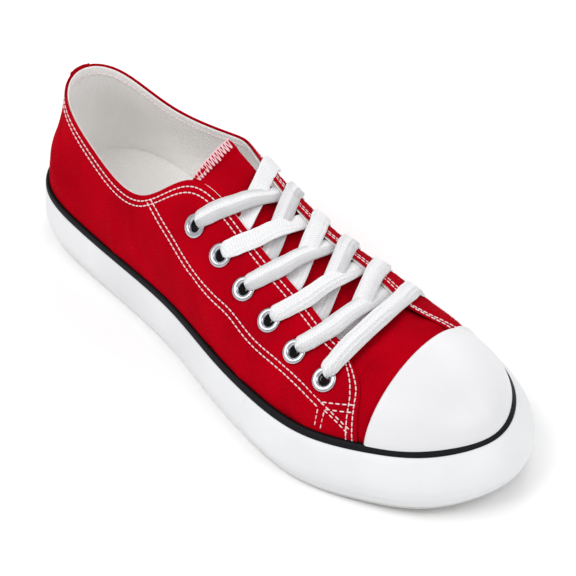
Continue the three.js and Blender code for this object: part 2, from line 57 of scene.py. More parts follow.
HEEL_STRIP = {"half": 7.2, "lift": 1.05, "thickness": 0.85, "seam": 5.3}
# The cap's rear edge lies in the upright plane x = start - skew * y.
CAP = {"start": 220.1, "skew": 0.2085, "under": -0.2, "over": 1.2, "round": 1.6, "tuck": 1.6}
INSOLE = {"thickness": 3.4, "cloth": 2.4, "inset": 1.4, "cup": 1.6}
LINING = {"low": 16.0, "lift": -0.92, "thickness": 0.8, "seam": 4.2, "ends": 6.9}
TONGUE = {"thickness": 1.9, "corner": (100.4, -20.2, 70.6), "peak": (95.8, 4.2, 76.9), "lap": 12.0}
OVERLOCK = {"pitch": 0.95, "depth": 4.3, "radius": 0.33, "lift": 0.42, "from": 0.36}
EYELET = {"count": 6, "first": 110.2, "pitch": 18.5, "from_edge": 17.0, "outer": 5.2, "hole": 3.5}
LACE = {"width": 8.3, "thickness": 1.15, "over": 1.1, "under": -2.55}
STITCH = {"pitch": 2.4, "length": 1.95, "radius": 0.3, "sink": 0.1}
TREAD = {"pitch": 5.4, "zigzag": 9.0, "sway": 4.2, "depth": 1.1}
SIDES = {"lateral": -1, "medial": 1}

COLUMNS = ("name", "x", "lateral", "medial", "lineIn", "edgeIn", "lineZ", "spring", "topX", "topZ",
           "dropL", "dropM", "openL", "openM", "middleY", "lean")
SECTIONS = (
    ("heel",         0,  -3.5, -3.5, 0.0, 7.0, 23.5, 2.0,   6.5, 69.0, 0.0,  0.0,  0.0,  0.0,  -3.2, 84),
    ("heel corner", 13, -31.8, 24.1, 0.6, 3.5, 23.5, 0.6,  16.6, 65.4, 0.0,  0.0, 16.8, 16.0,  -3.3, 82),
    ("heel side",   44, -39.4, 31.0, 2.0, 2.2, 22.0, 0.0,  45.0, 56.6, 0.2, -0.2, 23.7, 20.5,  -2.8, 78),
    ("rear waist",  78, -42.0, 29.0, 2.0, 2.0, 21.8, 0.0,  82.3, 58.4, 4.0, -4.0, 28.8, 24.8,  -3.6, 70),
    ("waist",      112, -45.6, 28.0, 2.6, 2.0, 22.4, 0.0, 102.6, 80.0, 4.2,  8.0, 14.8, 16.7,  -5.0, 50),
    ("midfoot",    146, -53.8, 32.0, 3.2, 2.2, 22.6, 0.0, 142.3, 67.6, 4.0,  4.0, 13.5, 13.5,  -9.2, 40),
    ("rear ball",  178, -59.3, 37.6, 4.9, 2.4, 22.8, 0.0, 178.4, 60.2, 4.0,  2.2, 14.9, 16.6, -10.3, 32),
    ("ball",       208, -60.0, 41.2, 6.2, 1.6, 24.0, 0.2, 200.0, 53.6, 3.2,  1.6, 17.2, 17.0, -10.8, 24),
    ("cap",        236, -48.4, 37.3, 7.4, 1.2, 25.6, 1.6, 227.0, 47.6, 0.0,  0.0,  9.5,  9.5,  -8.4,  0),
    ("toe corner", 260, -33.4, 21.4, 8.7, 1.6, 28.8, 4.0, 240.0, 44.0, 0.0,  0.0,  7.0,  7.0,  -6.0,  0),
    ("toe",        272,  -2.9, -2.9, 10.4, 2.6, 28.2, 5.8, 245.0, 41.8, 0.0,  0.0,  0.0,  0.0,  -5.2,  0),
)
LOOP = 2 * len(SECTIONS) - 2      # sections once round the shoe: lateral side, then medial
TOE = len(SECTIONS) - 1
random = np.random.default_rng(7)


# ---- curves round the shoe ---------------------------------------------------------------------
def column(name, sign=1):
    return sign * np.array([row[COLUMNS.index(name)] for row in SECTIONS], float)


def ring(lateral, medial=None):
    """A table column as a closed loop of cubic spline weights."""
    back = (lateral if medial is None else medial)[1:-1][::-1]
    v = np.concatenate([lateral, back])
    return v - (np.roll(v, 1) - 2 * v + np.roll(v, -1)) / 6


RING = {name: ring(column(name)) for name in
        ("x", "lineIn", "edgeIn", "lineZ", "spring", "topX", "topZ", "middleY", "lean")}
RING["y"] = ring(column("lateral"), column("medial"))
RING["drop"] = ring(column("dropL"), column("dropM"))
RING["open"] = ring(column("openL", -1), column("openM"))


def at(name, s):
    """The uniform cubic B-spline of a table column at section number s."""
    p = np.mod(np.asarray(s, float), LOOP)
    i = np.floor(p).astype(int)
    u = p - i
    b = ((1 - u) ** 3 / 6, (3 * u ** 3 - 6 * u * u + 4) / 6,
         (-3 * u ** 3 + 3 * u * u + 3 * u + 1) / 6, u ** 3 / 6)
    return sum(w * RING[name][(i + k - 1) % LOOP] for k, w in enumerate(b))


def smooth(a, b, v):
    t = np.clip((v - a) / (b - a), 0, 1)
    return t * t * (3 - 2 * t)


def unit(v):
    return v / np.maximum(np.linalg.norm(v, axis=-1, keepdims=True), 1e-9)


def run_along(points, axis=0):
    """Distance run from the first point of a line, or of every line of a grid, to each point."""
    step = np.linalg.norm(np.diff(points, axis=axis), axis=-1)
    return np.concatenate([np.zeros_like(np.take(step, [0], axis)), np.cumsum(step, axis)], axis)


def spring(s):
    return np.maximum(0, at("spring", s) - 0.08)


def mirror(s):
    return np.mod(LOOP - np.asarray(s, float), LOOP)


def outward(s):
    h = 1e-3
    dx, dy = at("x", s + h) - at("x", s - h), at("y", s + h) - at("y", s - h)
    return unit(np.stack([dy, -dx, 0 * dx], -1))


def widest_z(s):
    return 0.42 * at("lineZ", s) + 0.5 * spring(s)


def stripe_height(s):
    slope = 1.6 * at("lineIn", s) / (at("lineZ", s) - widest_z(s))
    return STRIPE["width"] / np.hypot(1, slope)


def foxing_top(s):
    return at("lineZ", s) - STRIPE["below"] + stripe_height(s)


def wall_inset(s, z):
    mid, low = widest_z(s), spring(s)
    below = at("edgeIn", s) * (np.maximum(mid - z, 0) / (mid - low)) ** 2
    above = at("lineIn", s) * (np.maximum(z - mid, 0) / (at("lineZ", s) - mid)) ** 1.6
    return below + above


def inset_point(s, inset, z):
    out = outward(s)
    flat = np.stack([at("x", s) - out[..., 0] * inset, at("y", s) - out[..., 1] * inset], -1)
    return np.concatenate([flat, (z + 0 * flat[..., 0])[..., None]], -1)


def wall_point(s, z, extra=0.0):
    return inset_point(s, wall_inset(s, z) + extra, z)


def throat_width(x):
    t = np.clip((x - THROAT_END + THROAT_ROUND) / THROAT_ROUND, 0, 1)
    return np.sqrt(1 - t * t)


def foot_point(s):
    return inset_point(s, wall_inset(s, foxing_top(s)) + FOXING_WALL, FOOT + 0.5 * spring(s))


def top_point(s):
    x = at("topX", s)
    w = throat_width(x)
    return np.stack([x, at("middleY", s) + at("open", s) * w, at("topZ", s) - at("drop", s) * w * w], -1)


def crest_slope(s):
    ahead = np.where(np.mod(s, LOOP) > TOE, mirror(s), s)
    back = ahead - 0.3
    return (at("topZ", ahead) - at("topZ", back)) / (at("topX", ahead) - at("topX", back))


def rib(s):
    """The four Bezier points of the rib at s, from the foot line to the collar, throat or crest."""
    s = np.asarray(s, float)
    foot, top = foot_point(s), top_point(s)
    rise = top - foot
    height, chord = rise[..., 2], np.linalg.norm(rise, axis=-1)
    reach, w = np.hypot(rise[..., 0], rise[..., 1]), throat_width(at("topX", s))
    inward = unit(rise * (1, 1, 0))
    steep = w * np.tan(np.radians(at("lean", s))) + (1 - w) * crest_slope(s) * inward[..., 0]
    arrive = unit(inward + np.stack([0 * steep, 0 * steep, steep], -1))
    flat = np.hypot(arrive[..., 0], arrive[..., 1])
    full = smooth(190, 238, at("topX", s))    # the toe is fuller than the sides
    handle = (0.45 + 0.1 * full) * (reach * flat + height * np.maximum(arrive[..., 2], 0))
    low = foot + outward(s) * ((0.06 + 0.1 * full) * chord)[..., None]
    low[..., 2] += (0.5 + 0.2 * full) * height
    return foot, low, top - arrive * handle[..., None], top


def bezier(points, t):
    t = np.asarray(t, float)[..., None]
    a, b, c, d = points
    return (1 - t) ** 3 * a + 3 * (1 - t) ** 2 * t * b + 3 * (1 - t) * t * t * c + t ** 3 * d


def skin(s, t):
    return bezier(rib(s), t)


def one_sided_normal(s, t):
    tt, h = np.clip(t, 0.01, 0.985), 0.02
    du = skin(s + h, tt) - skin(s - h, tt)
    dt = skin(s, np.minimum(tt + h, 1)) - skin(s, tt - h)
    return unit(np.cross(du, dt))


def skin_normal(s, t):
    """Outward normal of the skin, shared by both sides on the crest ahead of the throat."""
    n = one_sided_normal(s, t)
    crest = (np.asarray(t) >= 0.9999) & (throat_width(at("topX", s)) < 0.02)
    both = (n + one_sided_normal(mirror(s), t)) * (1, 0, 1)
    return np.where(crest[..., None], unit(both), n)


def offset_skin(s, t, d):
    s, t, d = np.broadcast_arrays(np.asarray(s, float), t, d)
    return skin(s, t) + skin_normal(s, t) * d[..., None]


STEPS = np.linspace(0, 1, 81)


def rib_samples(s):
    s = np.atleast_1d(np.asarray(s, float))
    points = bezier([p[:, None] for p in rib(s)], np.broadcast_to(STEPS, (len(s), len(STEPS))))
    return points, run_along(points, 1)


def below_top(s, distance):
    """Rib parameter at a distance measured down the skin from its top."""
    s, distance = np.broadcast_arrays(np.asarray(s, float), distance)
    shape, lengths = s.shape, rib_samples(s.ravel())[1]
    t = [np.interp(row[-1] - d, row, STEPS) for row, d in zip(lengths, distance.ravel())]
    return np.array(t).reshape(shape)


def at_height(s, z):
    """Rib parameter where the skin reaches height z, near its foot."""
    s, z = np.broadcast_arrays(np.asarray(s, float), z)
    heights = rib_samples(s.ravel())[0][:, :57, 2]
    t = [np.interp(h, row, STEPS[:57]) for row, h in zip(heights, z.ravel())]
    return np.array(t).reshape(s.shape)


def section_at(name, x):
    """Section number on the lateral side where a growing table value reaches x."""
    s = np.linspace(2.2, TOE - 0.05, 1600)
    return np.interp(x, at(name, s), s)


# ---- mesh helpers --------------------------------------------------------------------------------
def place(points):
    """Millimetres in the section frame to metres in the part's frame."""
    return (np.asarray(points, float) - MIDDLE) * 0.001


def grid_faces(n, m, closed=False):
    """Quads over n rows of m points; closed joins the last row to the first."""
    i, j = np.meshgrid(np.arange(n if closed else n - 1), np.arange(m - 1), indexing="ij")
    a, b = i * m + j, (i + 1) % n * m + j
    return np.stack([a, b, b + 1, a + 1], -1).reshape(-1, 4)


class Parts:
    """Collects grids of points, faces and UVs for one mesh."""

    def __init__(self):
        self.points, self.faces, self.uvs, self.size = [], [], [], 0

    def add(self, points, faces, uv=None):
        points = np.asarray(points, float).reshape(-1, 3)
        self.points.append(points)
        self.faces.extend((np.asarray(faces) + self.size).tolist())
        self.uvs.append(np.zeros((len(points), 2)) if uv is None else np.asarray(uv).reshape(-1, 2))
        self.size += len(points)

    def piece(self, name, material, slot, *nodes, weld=0.0):
        """Makes the mesh a piece of the body, standing for the CAD nodes named; the slot is not used."""
        mesh = bpy.data.meshes.new(name)
        mesh.from_pydata(place(np.concatenate(self.points)).tolist(), [], self.faces)
        layer = mesh.uv_layers.new(name="cloth")
        corners = np.empty(len(mesh.loops), int)
        mesh.loops.foreach_get("vertex_index", corners)
        layer.data.foreach_set("uv", np.concatenate(self.uvs)[corners].astype(np.float32).ravel())
        mesh.polygons.foreach_set("use_smooth", [True] * len(mesh.polygons))
        mesh.materials.append(material)
        piece = bpy.data.objects.new(name, mesh)
        bpy.context.scene.collection.objects.link(piece)
        if weld:
            join = piece.modifiers.new("weld", "WELD")
            join.merge_threshold = weld * 0.001
        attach(piece, "root")
        if nodes:
            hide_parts(*nodes)


def uv_of(grid):
    """Distances run both ways over a grid of points, in metres."""
    return np.stack([run_along(grid, 0), run_along(grid, 1)], -1) * 0.001


def rim_of(n, m):
    """Indices once round the border of an n by m grid."""
    index = np.arange(n * m).reshape(n, m)
    return np.concatenate([index[:, 0], index[-1, 1:], index[-2::-1, -1], index[0, -2:0:-1]])


def shares(n, m):
    """Shares from 0 to 1 down the rows and along the columns of an n by m grid."""
    return np.linspace(0, 1, n)[:, None], np.linspace(0, 1, m)[None, :]


def thick_sheet(parts, outer, normals, thickness, round_edge=0.3, holes=()):
    """A sheet: its outer face as a grid, an inner face below it, a rounded border and round holes.

    Each hole is a centre and a radius; it goes through both faces and has a wall of its own.
    """
    n, m = outer.shape[:2]
    outer, uv = outer.copy(), uv_of(outer)
    cells = np.ones((n - 1, m - 1), bool)
    for centre, radius in holes:
        away = outer - centre
        gap = np.linalg.norm(away, axis=-1)
        inside = gap < radius
        cells[inside[:-1, :-1] | inside[1:, :-1] | inside[1:, 1:] | inside[:-1, 1:]] = False
        near = (gap < radius * 1.55) & ~inside
        shift = away * (radius / np.maximum(gap, 1e-6))[..., None] - away
        shift -= normals * np.sum(shift * normals, -1, keepdims=True)
        touching = np.zeros((n, m), bool)
        for i, j in ((0, 0), (1, 0), (1, 1), (0, 1)):
            touching[i:n - 1 + i, j:m - 1 + j] |= ~cells
        outer[near & touching] += shift[near & touching]
    inner = outer - normals * thickness
    rim, faces = rim_of(n, m), grid_faces(n, m)[cells.ravel()]
    flat_out, flat_in = outer.reshape(-1, 3).copy(), inner.reshape(-1, 3).copy()
    lean = normals.reshape(-1, 3)[rim] * thickness * round_edge
    flat_out[rim] -= lean
    flat_in[rim] += lean
    along = unit(np.roll(flat_out[rim], -1, 0) - np.roll(flat_out[rim], 1, 0))
    aside = unit(np.cross(normals.reshape(-1, 3)[rim], along))
    middle = (flat_out[rim] + flat_in[rim]) / 2 - aside * thickness * 0.22
    start = parts.size
    parts.add(flat_out, faces, uv)
    parts.add(flat_in, faces[:, ::-1], uv)
    ring_start = parts.size
    parts.add(middle, np.zeros((0, 4), int), uv.reshape(-1, 2)[rim])
    k = np.arange(len(rim))
    following = (k + 1) % len(rim)
    top, low = start + rim, start + n * m + rim
    parts.faces.extend(np.stack([ring_start + k, ring_start + following, top[following],
                                 top[k]], -1).tolist())
    parts.faces.extend(np.stack([low[k], low[following], ring_start + following,
                                 ring_start + k], -1).tolist())
    parts.faces.extend(hole_walls(cells, start, n * m, m))


def hole_walls(cells, start, sheet, m):
    """Faces round the edges of removed cells, between the outer and the inner face."""
    walls = []
    for i, j in zip(*np.nonzero(~cells)):
        corners = ((i, j), (i + 1, j), (i + 1, j + 1), (i, j + 1))
        beside = ((i, j - 1), (i + 1, j), (i, j + 1), (i - 1, j))
        for k, (bi, bj) in enumerate(beside):
            if 0 <= bi < cells.shape[0] and 0 <= bj < cells.shape[1] and cells[bi, bj]:
                a = start + corners[k][0] * m + corners[k][1]
                b = start + corners[(k + 1) % 4][0] * m + corners[(k + 1) % 4][1]
                walls.append([int(a), int(b), int(b + sheet), int(a + sheet)])
    return walls


def skin_sheet(parts, s, t, lift, thickness, holes=()):
    """A sheet that follows the skin, its outer face lifted off it."""
    normals = skin_normal(s, t)
    thick_sheet(parts, skin(s, t) + normals * lift[..., None], normals, thickness, holes=holes)


def sweep(parts, sections, closed=True):
    """Closed section loops joined along a path; open paths are capped with a fan of faces."""
    sections = np.asarray(sections, float)
    n, m = sections.shape[:2]
    looped = np.concatenate([sections, sections[:, :1]], 1)
    uv = uv_of(looped)
    start = parts.size
    parts.add(looped, grid_faces(n, m + 1, closed), uv)
    if not closed:
        parts.faces.append((start + np.arange(m)).tolist())
        parts.faces.append((start + (n - 1) * (m + 1) + np.arange(m)[::-1]).tolist())


# ---- materials -------------------------------------------------------------------------------------
class Shader:
    """A material's node tree, with short calls for the nodes used here."""

    def __init__(self, name, **constants):
        self.material = bpy.data.materials.new(name)
        self.material.use_nodes = True
        self.tree = self.material.node_tree
        self.shader = self.tree.nodes["Principled BSDF"]
        for socket, value in constants.items():
            self.shader.inputs[socket.replace("_", " ")].default_value = value

    def node(self, kind, inputs=(), **settings):
        made = self.tree.nodes.new("ShaderNode" + kind)
        for key, value in settings.items():
            setattr(made, key, value)
        for key, value in dict(inputs).items():
            if isinstance(value, bpy.types.NodeSocket):
                self.tree.links.new(value, made.inputs[key])
            else:
                made.inputs[key].default_value = value
        return made

    def math(self, operation, a, b=0.0):
        return self.node("Math", {0: a, 1: b}, operation=operation).outputs[0]

    def uv(self, scale_u, scale_v):
        """UV coordinates, in metres, as two phases: one turn for each scale."""
        split = self.node("SeparateXYZ", {0: self.node("UVMap", uv_map="cloth").outputs[0]})
        return (self.math("MULTIPLY", split.outputs[0], 2 * math.pi / scale_u),
                self.math("MULTIPLY", split.outputs[1], 2 * math.pi / scale_v))

    def place(self):
        return self.node("TexCoord").outputs["Object"]

    def noise(self, scale, detail=2.0, roughness=0.5):
        return self.node("TexNoise", {"Vector": self.place(), "Scale": scale, "Detail": detail,
                                      "Roughness": roughness}).outputs["Fac"]

    def ramp(self, value, low, high, start=0.0, end=1.0):
        return self.node("MapRange", {0: value, 1: low, 2: high, 3: start, 4: end}).outputs[0]

    def mix(self, factor, a, b):
        return self.node("Mix", {"Factor": factor, 6: a, 7: b}, data_type="RGBA").outputs[2]

    def bump(self, height, distance, strength):
        return self.node("Bump", {"Height": height, "Distance": distance, "Strength": strength}).outputs[0]

    def set(self, **sockets):
        for name, value in sockets.items():
            self.tree.links.new(value, self.shader.inputs[name.replace("_", " ")])
        return self.material


def rgb(red, green, blue):
    """An sRGB colour, 0 to 255, as a linear RGBA value."""
    linear = [((c / 255 + 0.055) / 1.055) ** 2.4 if c > 10 else c / 3295 for c in (red, green, blue)]
    return (*linear, 1.0)


def canvas_material(name, dark, light, thread=0.00062):
    """Plain weave: threads over and under one another, with fibres and a slight cloudiness."""
    m = Shader(name, Roughness=0.95, Specular_IOR_Level=0.02, Sheen_Roughness=0.5)
    u, v = m.uv(2 * thread, 2 * thread)
    over = m.math("MULTIPLY", m.math("SINE", u), m.math("SINE", v))
    fibre = m.noise(2600.0, 3.0, 0.7)
    cloud = m.noise(38.0, 3.0)
    height = m.math("ADD", m.math("MULTIPLY", over, 0.5), fibre)
    shade = m.math("ADD", m.math("MULTIPLY", over, 0.28),
                   m.math("ADD", m.ramp(fibre, 0.3, 0.7, -0.2, 0.2), m.ramp(cloud, 0.3, 0.7, 0.3, 0.7)))
    return m.set(Base_Color=m.mix(shade, dark, light), Normal=m.bump(height, 0.00022, 0.8))


def rubber_material(name, dark, light, roughness, grain=0.00008, dirt=0.0, specular=0.45):
    """Matt rubber with a fine grain, and dirt that gathers towards the ground."""
    m = Shader(name, Specular_IOR_Level=specular)
    fine, cloud = m.noise(1500.0, 3.0), m.noise(24.0, 4.0)
    colour = m.mix(m.ramp(cloud, 0.3, 0.7), dark, light)
    if dirt:
        height = m.node("SeparateXYZ", {0: m.place()}).outputs[2]
        low = m.ramp(height, 0.009, 0.001)
        colour = m.mix(m.math("MULTIPLY", low, m.ramp(cloud, 0.45, 0.75, 0.0, dirt)), colour,
                       rgb(176, 168, 156))
    return m.set(Base_Color=colour, Roughness=m.ramp(fine, 0.3, 0.7, roughness - 0.06, roughness + 0.08),
                 Normal=m.bump(fine, grain, 0.5))


def lace_material():
    """A flat braid: slanting ribs that turn back at the middle of the lace."""
    m = Shader("lace", Roughness=0.8, Sheen_Weight=0.25, Sheen_Roughness=0.4)
    split = m.node("SeparateXYZ", {0: m.node("UVMap", uv_map="cloth").outputs[0]})
    along, across = split.outputs[0], split.outputs[1]
    fold = m.math("ABSOLUTE", m.math("SUBTRACT", m.math("FRACT", m.math("MULTIPLY", across, 480.0)), 0.5))
    braid = m.math("SINE", m.math("MULTIPLY", m.math("ADD", along, m.math("MULTIPLY", fold, 0.0016)),
                                  2 * math.pi / 0.0012))
    fibre = m.noise(2400.0, 3.0, 0.7)
    height = m.math("ADD", m.math("MULTIPLY", braid, 0.5), fibre)
    shade = m.math("ADD", m.math("MULTIPLY", braid, 0.35), m.ramp(fibre, 0.3, 0.7, 0.2, 0.8))
    return m.set(Base_Color=m.mix(shade, rgb(226, 226, 229), rgb(250, 250, 251)),
                 Normal=m.bump(height, 0.0002, 0.8))


def metal_material(name, dark, light, metallic, polished, dull):
    m = Shader(name, Metallic=metallic)
    fine = m.noise(500.0, 2.0)
    return m.set(Base_Color=m.mix(fine, dark, light), Roughness=m.ramp(fine, 0.3, 0.7, polished, dull))


def thread_material(name, dark, light):
    m = Shader(name, Roughness=0.7, Sheen_Weight=0.2)
    twist = m.noise(3200.0, 2.0)
    return m.set(Base_Color=m.mix(m.ramp(twist, 0.35, 0.65), dark, light),
                 Normal=m.bump(twist, 0.0001, 0.6))


RED = canvas_material("red_canvas", rgb(144, 0, 16), rgb(198, 0, 23))
LINING_CLOTH = canvas_material("lining_canvas", rgb(248, 246, 244), rgb(255, 254, 252), 0.0005)
FOOTBED = canvas_material("footbed_cloth", rgb(244, 242, 240), rgb(254, 253, 251), 0.0007)
RUBBER = rubber_material("white_rubber", rgb(220, 221, 223), rgb(231, 232, 234), 0.5, dirt=0.5)
CAP_RUBBER = rubber_material("cap_rubber", rgb(222, 222, 224), rgb(230, 230, 232), 0.4, 0.00004)
BLACK = rubber_material("black_line", rgb(2, 3, 6), rgb(7, 9, 15), 0.6, specular=0.2)
TREAD_RUBBER = rubber_material("tread_rubber", rgb(216, 216, 215), rgb(228, 228, 227), 0.62, dirt=0.5)
LACE_CLOTH = lace_material()
NICKEL = metal_material("nickel", rgb(176, 178, 184), rgb(204, 206, 212), 1.0, 0.2, 0.3)
# Near black: painted shade for the dark inside of each eyelet's hole, on the barrel and the base that
# nearly closes it.
PAINTED_SHADE_BARREL = metal_material("painted_shade_barrel", rgb(10, 10, 13), rgb(24, 23, 26), 0.3, 0.55, 0.7)
WHITE_THREAD = thread_material("white_thread", rgb(232, 206, 210), rgb(248, 232, 234))
PINK_THREAD = thread_material("pale_thread", rgb(222, 160, 170), rgb(244, 214, 218))


# ---- places on the upper ----------------------------------------------------------------------------
def on_side(s, side):
    """A lateral section number as it is, or its mirror image on the medial side."""
    return np.asarray(s, float) if side < 0 else mirror(s)


def spot(s, side, down, lift=0.0):
    """Point and normal at a distance down the skin from its top edge."""
    q = on_side(s, side)
    t = below_top(q, down)
    normal = skin_normal(q, t)
    return skin(q, t) + normal * np.asarray(lift, float)[..., None], normal


def eyelet_row():
    """Section numbers of the eyelets on the lateral side, a pitch apart along their row."""
    s = np.linspace(float(section_at("topX", EYELET["first"])), 7.6, 900)
    points = skin(s, below_top(s, EYELET["from_edge"]))
    run = run_along(points)
    return np.interp(EYELET["pitch"] * np.arange(EYELET["count"]), run, s)


def cap_plane(points):
    """How far forward points lie, measured square to the cap's skewed rear edge."""
    return points[..., 0] + CAP["skew"] * points[..., 1]


def medial_row(lateral):
    """The medial eyelets lie across from the lateral ones, parallel to the cap's rear edge."""
    s = np.linspace(3.3, 7.3, 1200)
    across, points = spot(lateral, -1, EYELET["from_edge"])[0], spot(s, 1, EYELET["from_edge"])[0]
    return np.interp(cap_plane(across), cap_plane(points), s)


EYELET_S = {-1: eyelet_row()}
EYELET_S[1] = medial_row(EYELET_S[-1])


def edge_param(s):
    """Rib parameter of the eyestay's edge, which runs on beside the closed end of the throat."""
    w = throat_width(at("topX", s))
    return below_top(s, (1 - w) * np.abs(at("open", s)))


def foot_param(s):
    """Rib parameter just behind the black line, where the canvas disappears."""
    return at_height(s, foxing_top(s) - CANVAS["tuck"])


def quarter_front(tau):
    """Section number of the quarter's curved front edge, from the sole (0) to the throat (1)."""
    return 7.775 - 0.33 * tau - 0.12 * tau ** 2 - 0.153 * (np.maximum(0, tau - 0.5) / 0.35) ** 2.6


# ---- seams, each a line of points on the cloth with their normals -------------------------------------
def hermite(table, run, x):
    """A smooth curve through rows of values that stand at distances run, sampled at distances x."""
    slope = np.gradient(table, run, axis=0)
    i = np.clip(np.searchsorted(run, x, side="right") - 1, 0, len(run) - 2)
    h = (run[i + 1] - run[i])[:, None]
    u = (x[:, None] - run[i][:, None]) / h
    return ((2 * u ** 3 - 3 * u ** 2 + 1) * table[i] + (u ** 3 - 2 * u ** 2 + u) * h * slope[i]
            + (3 * u ** 2 - 2 * u ** 3) * table[i + 1] + (u ** 3 - u ** 2) * h * slope[i + 1])


def smooth_line(points, step=1.0):
    """A rounded line through the given points, sampled at even steps."""
    run = run_along(points)
    count = max(2, int(round(run[-1] / step)) + 1)
    return hermite(points, run, np.linspace(0, run[-1], count))


# The eyestay's seam: section number and millimetres below the edge, from the collar to the toe.
EYESTAY = ((3.17, 2.7), (3.35, 8.7), (3.51, 14.5), (3.81, 24.7), (4.09, 31.7), (4.39, 34.4), (4.56, 34.0),
           (4.79, 32.2), (5.03, 29.7), (5.57, 28.8), (6.13, 26.2), (6.57, 24.8), (7.07, 27.3))


def eyestay_seam(side, apart):
    """Points of one row of the eyestay's double seam; apart is its offset to the outside."""
    s, down = np.array(EYESTAY).T
    points, normals = spot(s, side, down, CANVAS["lift"])
    line = smooth_line(points)
    normals = near_normals(line, points, normals)
    along = unit(np.gradient(line, axis=0))
    return line - unit(np.cross(normals, along)) * apart * side, normals


def near_normals(line, points, normals):
    """Normals for a line, blended from those of the points it was drawn through."""
    gap = np.linalg.norm(line[:, None] - points[None], axis=-1) + 0.5
    weight = 1 / gap ** 3
    return unit(weight @ normals)


def edge_seam(side, inset):
    """A row parallel to the collar and throat edge, from the heel strip to the quarter's front."""
    s = np.linspace(0.45, 6.86, 430)
    return spot(s, side, inset, CANVAS["lift"])


def front_seam(side, inset):
    """A row parallel to the quarter's front edge."""
    tau = np.linspace(0.03, 0.985, 160)
    section = 27.0                # length of a section there, in millimetres
    q = on_side(quarter_front(tau) - inset / section * (1 - 0.3 * tau), side)
    low = foot_param(q)
    t = low + (edge_param(q) - low) * tau
    normal = skin_normal(q, t)
    return skin(q, t) + normal * CANVAS["lift"], normal


def strip_seam(side):
    """A row up the heel strip, beside the middle of the heel."""
    return spot(heel_section(HEEL_STRIP["seam"]), side, np.linspace(1.6, 43, 120), HEEL_STRIP["lift"])


def heel_section(distance):
    """Section number at a distance round the heel from its middle, measured at mid height."""
    s = np.linspace(0, 2, 400)
    points = skin(s, 0.55 + 0 * s)
    run = run_along(points)
    return float(np.interp(distance, run, s))


# Rows of the reinforcement, where the eyestay's seam runs into the front edge: each point is a
# section number and a share of the rib's length from the foot.
PATCH = (
    ((7.09, 0.462), (7.32, 0.454), (7.54, 0.448)), ((7.17, 0.405), (7.37, 0.392), (7.56, 0.396)),
    ((7.07, 0.40), (7.085, 0.24)), ((7.18, 0.384), (7.185, 0.224)),
    ((7.16, 0.40), (7.39, 0.307), (7.60, 0.238)),
    ((7.07, 0.462), (7.21, 0.415), (7.40, 0.328), (7.61, 0.271)),
)


def patch_rows(side):
    rows = []
    for points in PATCH:
        s, t = np.array(points).T
        q = on_side(s, side)
        line = smooth_line(skin(q, t))
        normals = near_normals(line, skin(q, t), skin_normal(q, t))
        rows.append((line + normals * CANVAS["lift"], normals))
    return rows


SEAMS = {side: [edge_seam(side, 2.6), edge_seam(side, 5.2), eyestay_seam(side, -1.25),
                eyestay_seam(side, 1.25), front_seam(side, 1.9), front_seam(side, 4.5),
                *patch_rows(side)] for side in SIDES.values()}


def seam_press(points, side, depth=0.28, width=0.75):
    """How far the seams pull the cloth in at given points: a soft trough along every row."""
    lines = np.concatenate([resample(line, max(3, int(run_along(line)[-1])))
                            for line, _ in SEAMS[side]])
    flat = points.reshape(-1, 3)
    nearest = np.concatenate([np.min(np.sum((chunk[:, None] - lines[None]) ** 2, -1), 1)
                              for chunk in np.array_split(flat, 60)])
    return depth * np.exp(-nearest / (2 * width ** 2)).reshape(points.shape[:-1])


def along_line(distance, run, line):
    """Points of a line at distances along it."""
    return np.stack([np.interp(distance, run, line[:, k]) for k in range(3)], -1)


def resample(line, count):
    """Points at even distances along a line."""
    run = run_along(line)
    return along_line(np.linspace(0, run[-1], count), run, line)


# Creases: side, section number and mm below the edge of both ends, width, depth.
CREASES = (
    (-1, 2.95, 9.0, 3.35, 33.0, 3.4, 0.65), (-1, 2.55, 12.0, 2.75, 30.0, 4.2, -0.5),
    (-1, 4.35, 37.0, 4.9, 52.0, 4.0, 0.5), (-1, 5.3, 33.0, 5.6, 50.0, 4.6, -0.45),
    (-1, 6.25, 30.0, 6.9, 52.0, 4.2, 0.6), (-1, 6.7, 31.0, 7.25, 48.0, 3.4, -0.45),
    (-1, 1.0, 14.0, 1.9, 22.0, 4.4, 0.55), (-1, 0.55, 27.0, 1.5, 33.0, 4.0, -0.4),
    (1, 2.8, 8.0, 3.3, 30.0, 3.6, 0.65), (1, 4.5, 36.0, 5.1, 50.0, 4.2, 0.5),
    (1, 6.2, 28.0, 6.8, 46.0, 4.0, 0.55), (1, 1.1, 13.0, 2.0, 22.0, 4.4, 0.5),
    (-1, 5.9, 9.5, 6.02, 24.0, 2.2, 0.22), (-1, 4.95, 9.0, 4.93, 24.0, 2.2, 0.2),
    (1, 5.45, 9.0, 5.42, 24.0, 2.2, 0.22), (-1, 6.67, 8.0, 6.7, 22.0, 2.2, 0.24),
)


def crease_lift(points, side):
    """Soft troughs and, with a negative depth, ridges."""
    lift = np.zeros(points.shape[:-1])
    for which, s0, d0, s1, d1, width, depth in CREASES:
        if which != side:
            continue
        line = spot(np.linspace(s0, s1, 14), side, np.linspace(d0, d1, 14))[0]
        near = np.min(np.sum((points[..., None, :] - line) ** 2, -1), -1)
        lift -= depth * np.exp(-near / (2 * (width / 2) ** 2))
    return lift


def undulation(points):
    """Low waves of soft cloth, as a lift in millimetres, the same on every run."""
    x, y, z = np.moveaxis(points, -1, 0)
    return (0.16 * np.sin(x / 9.1 + z / 7.3) * np.sin(z / 11.0 - x / 17.0)
            + 0.08 * np.sin(x / 4.7 - z / 5.9 + y / 13.0))


def eyelet_holes(side, lift=0.0):
    """Centre and radius of the hole in the cloth for each eyelet of a side."""
    centres = spot(EYELET_S[side], side, EYELET["from_edge"], lift)[0]
    return [(centre, EYELET["hole"]) for centre in centres]


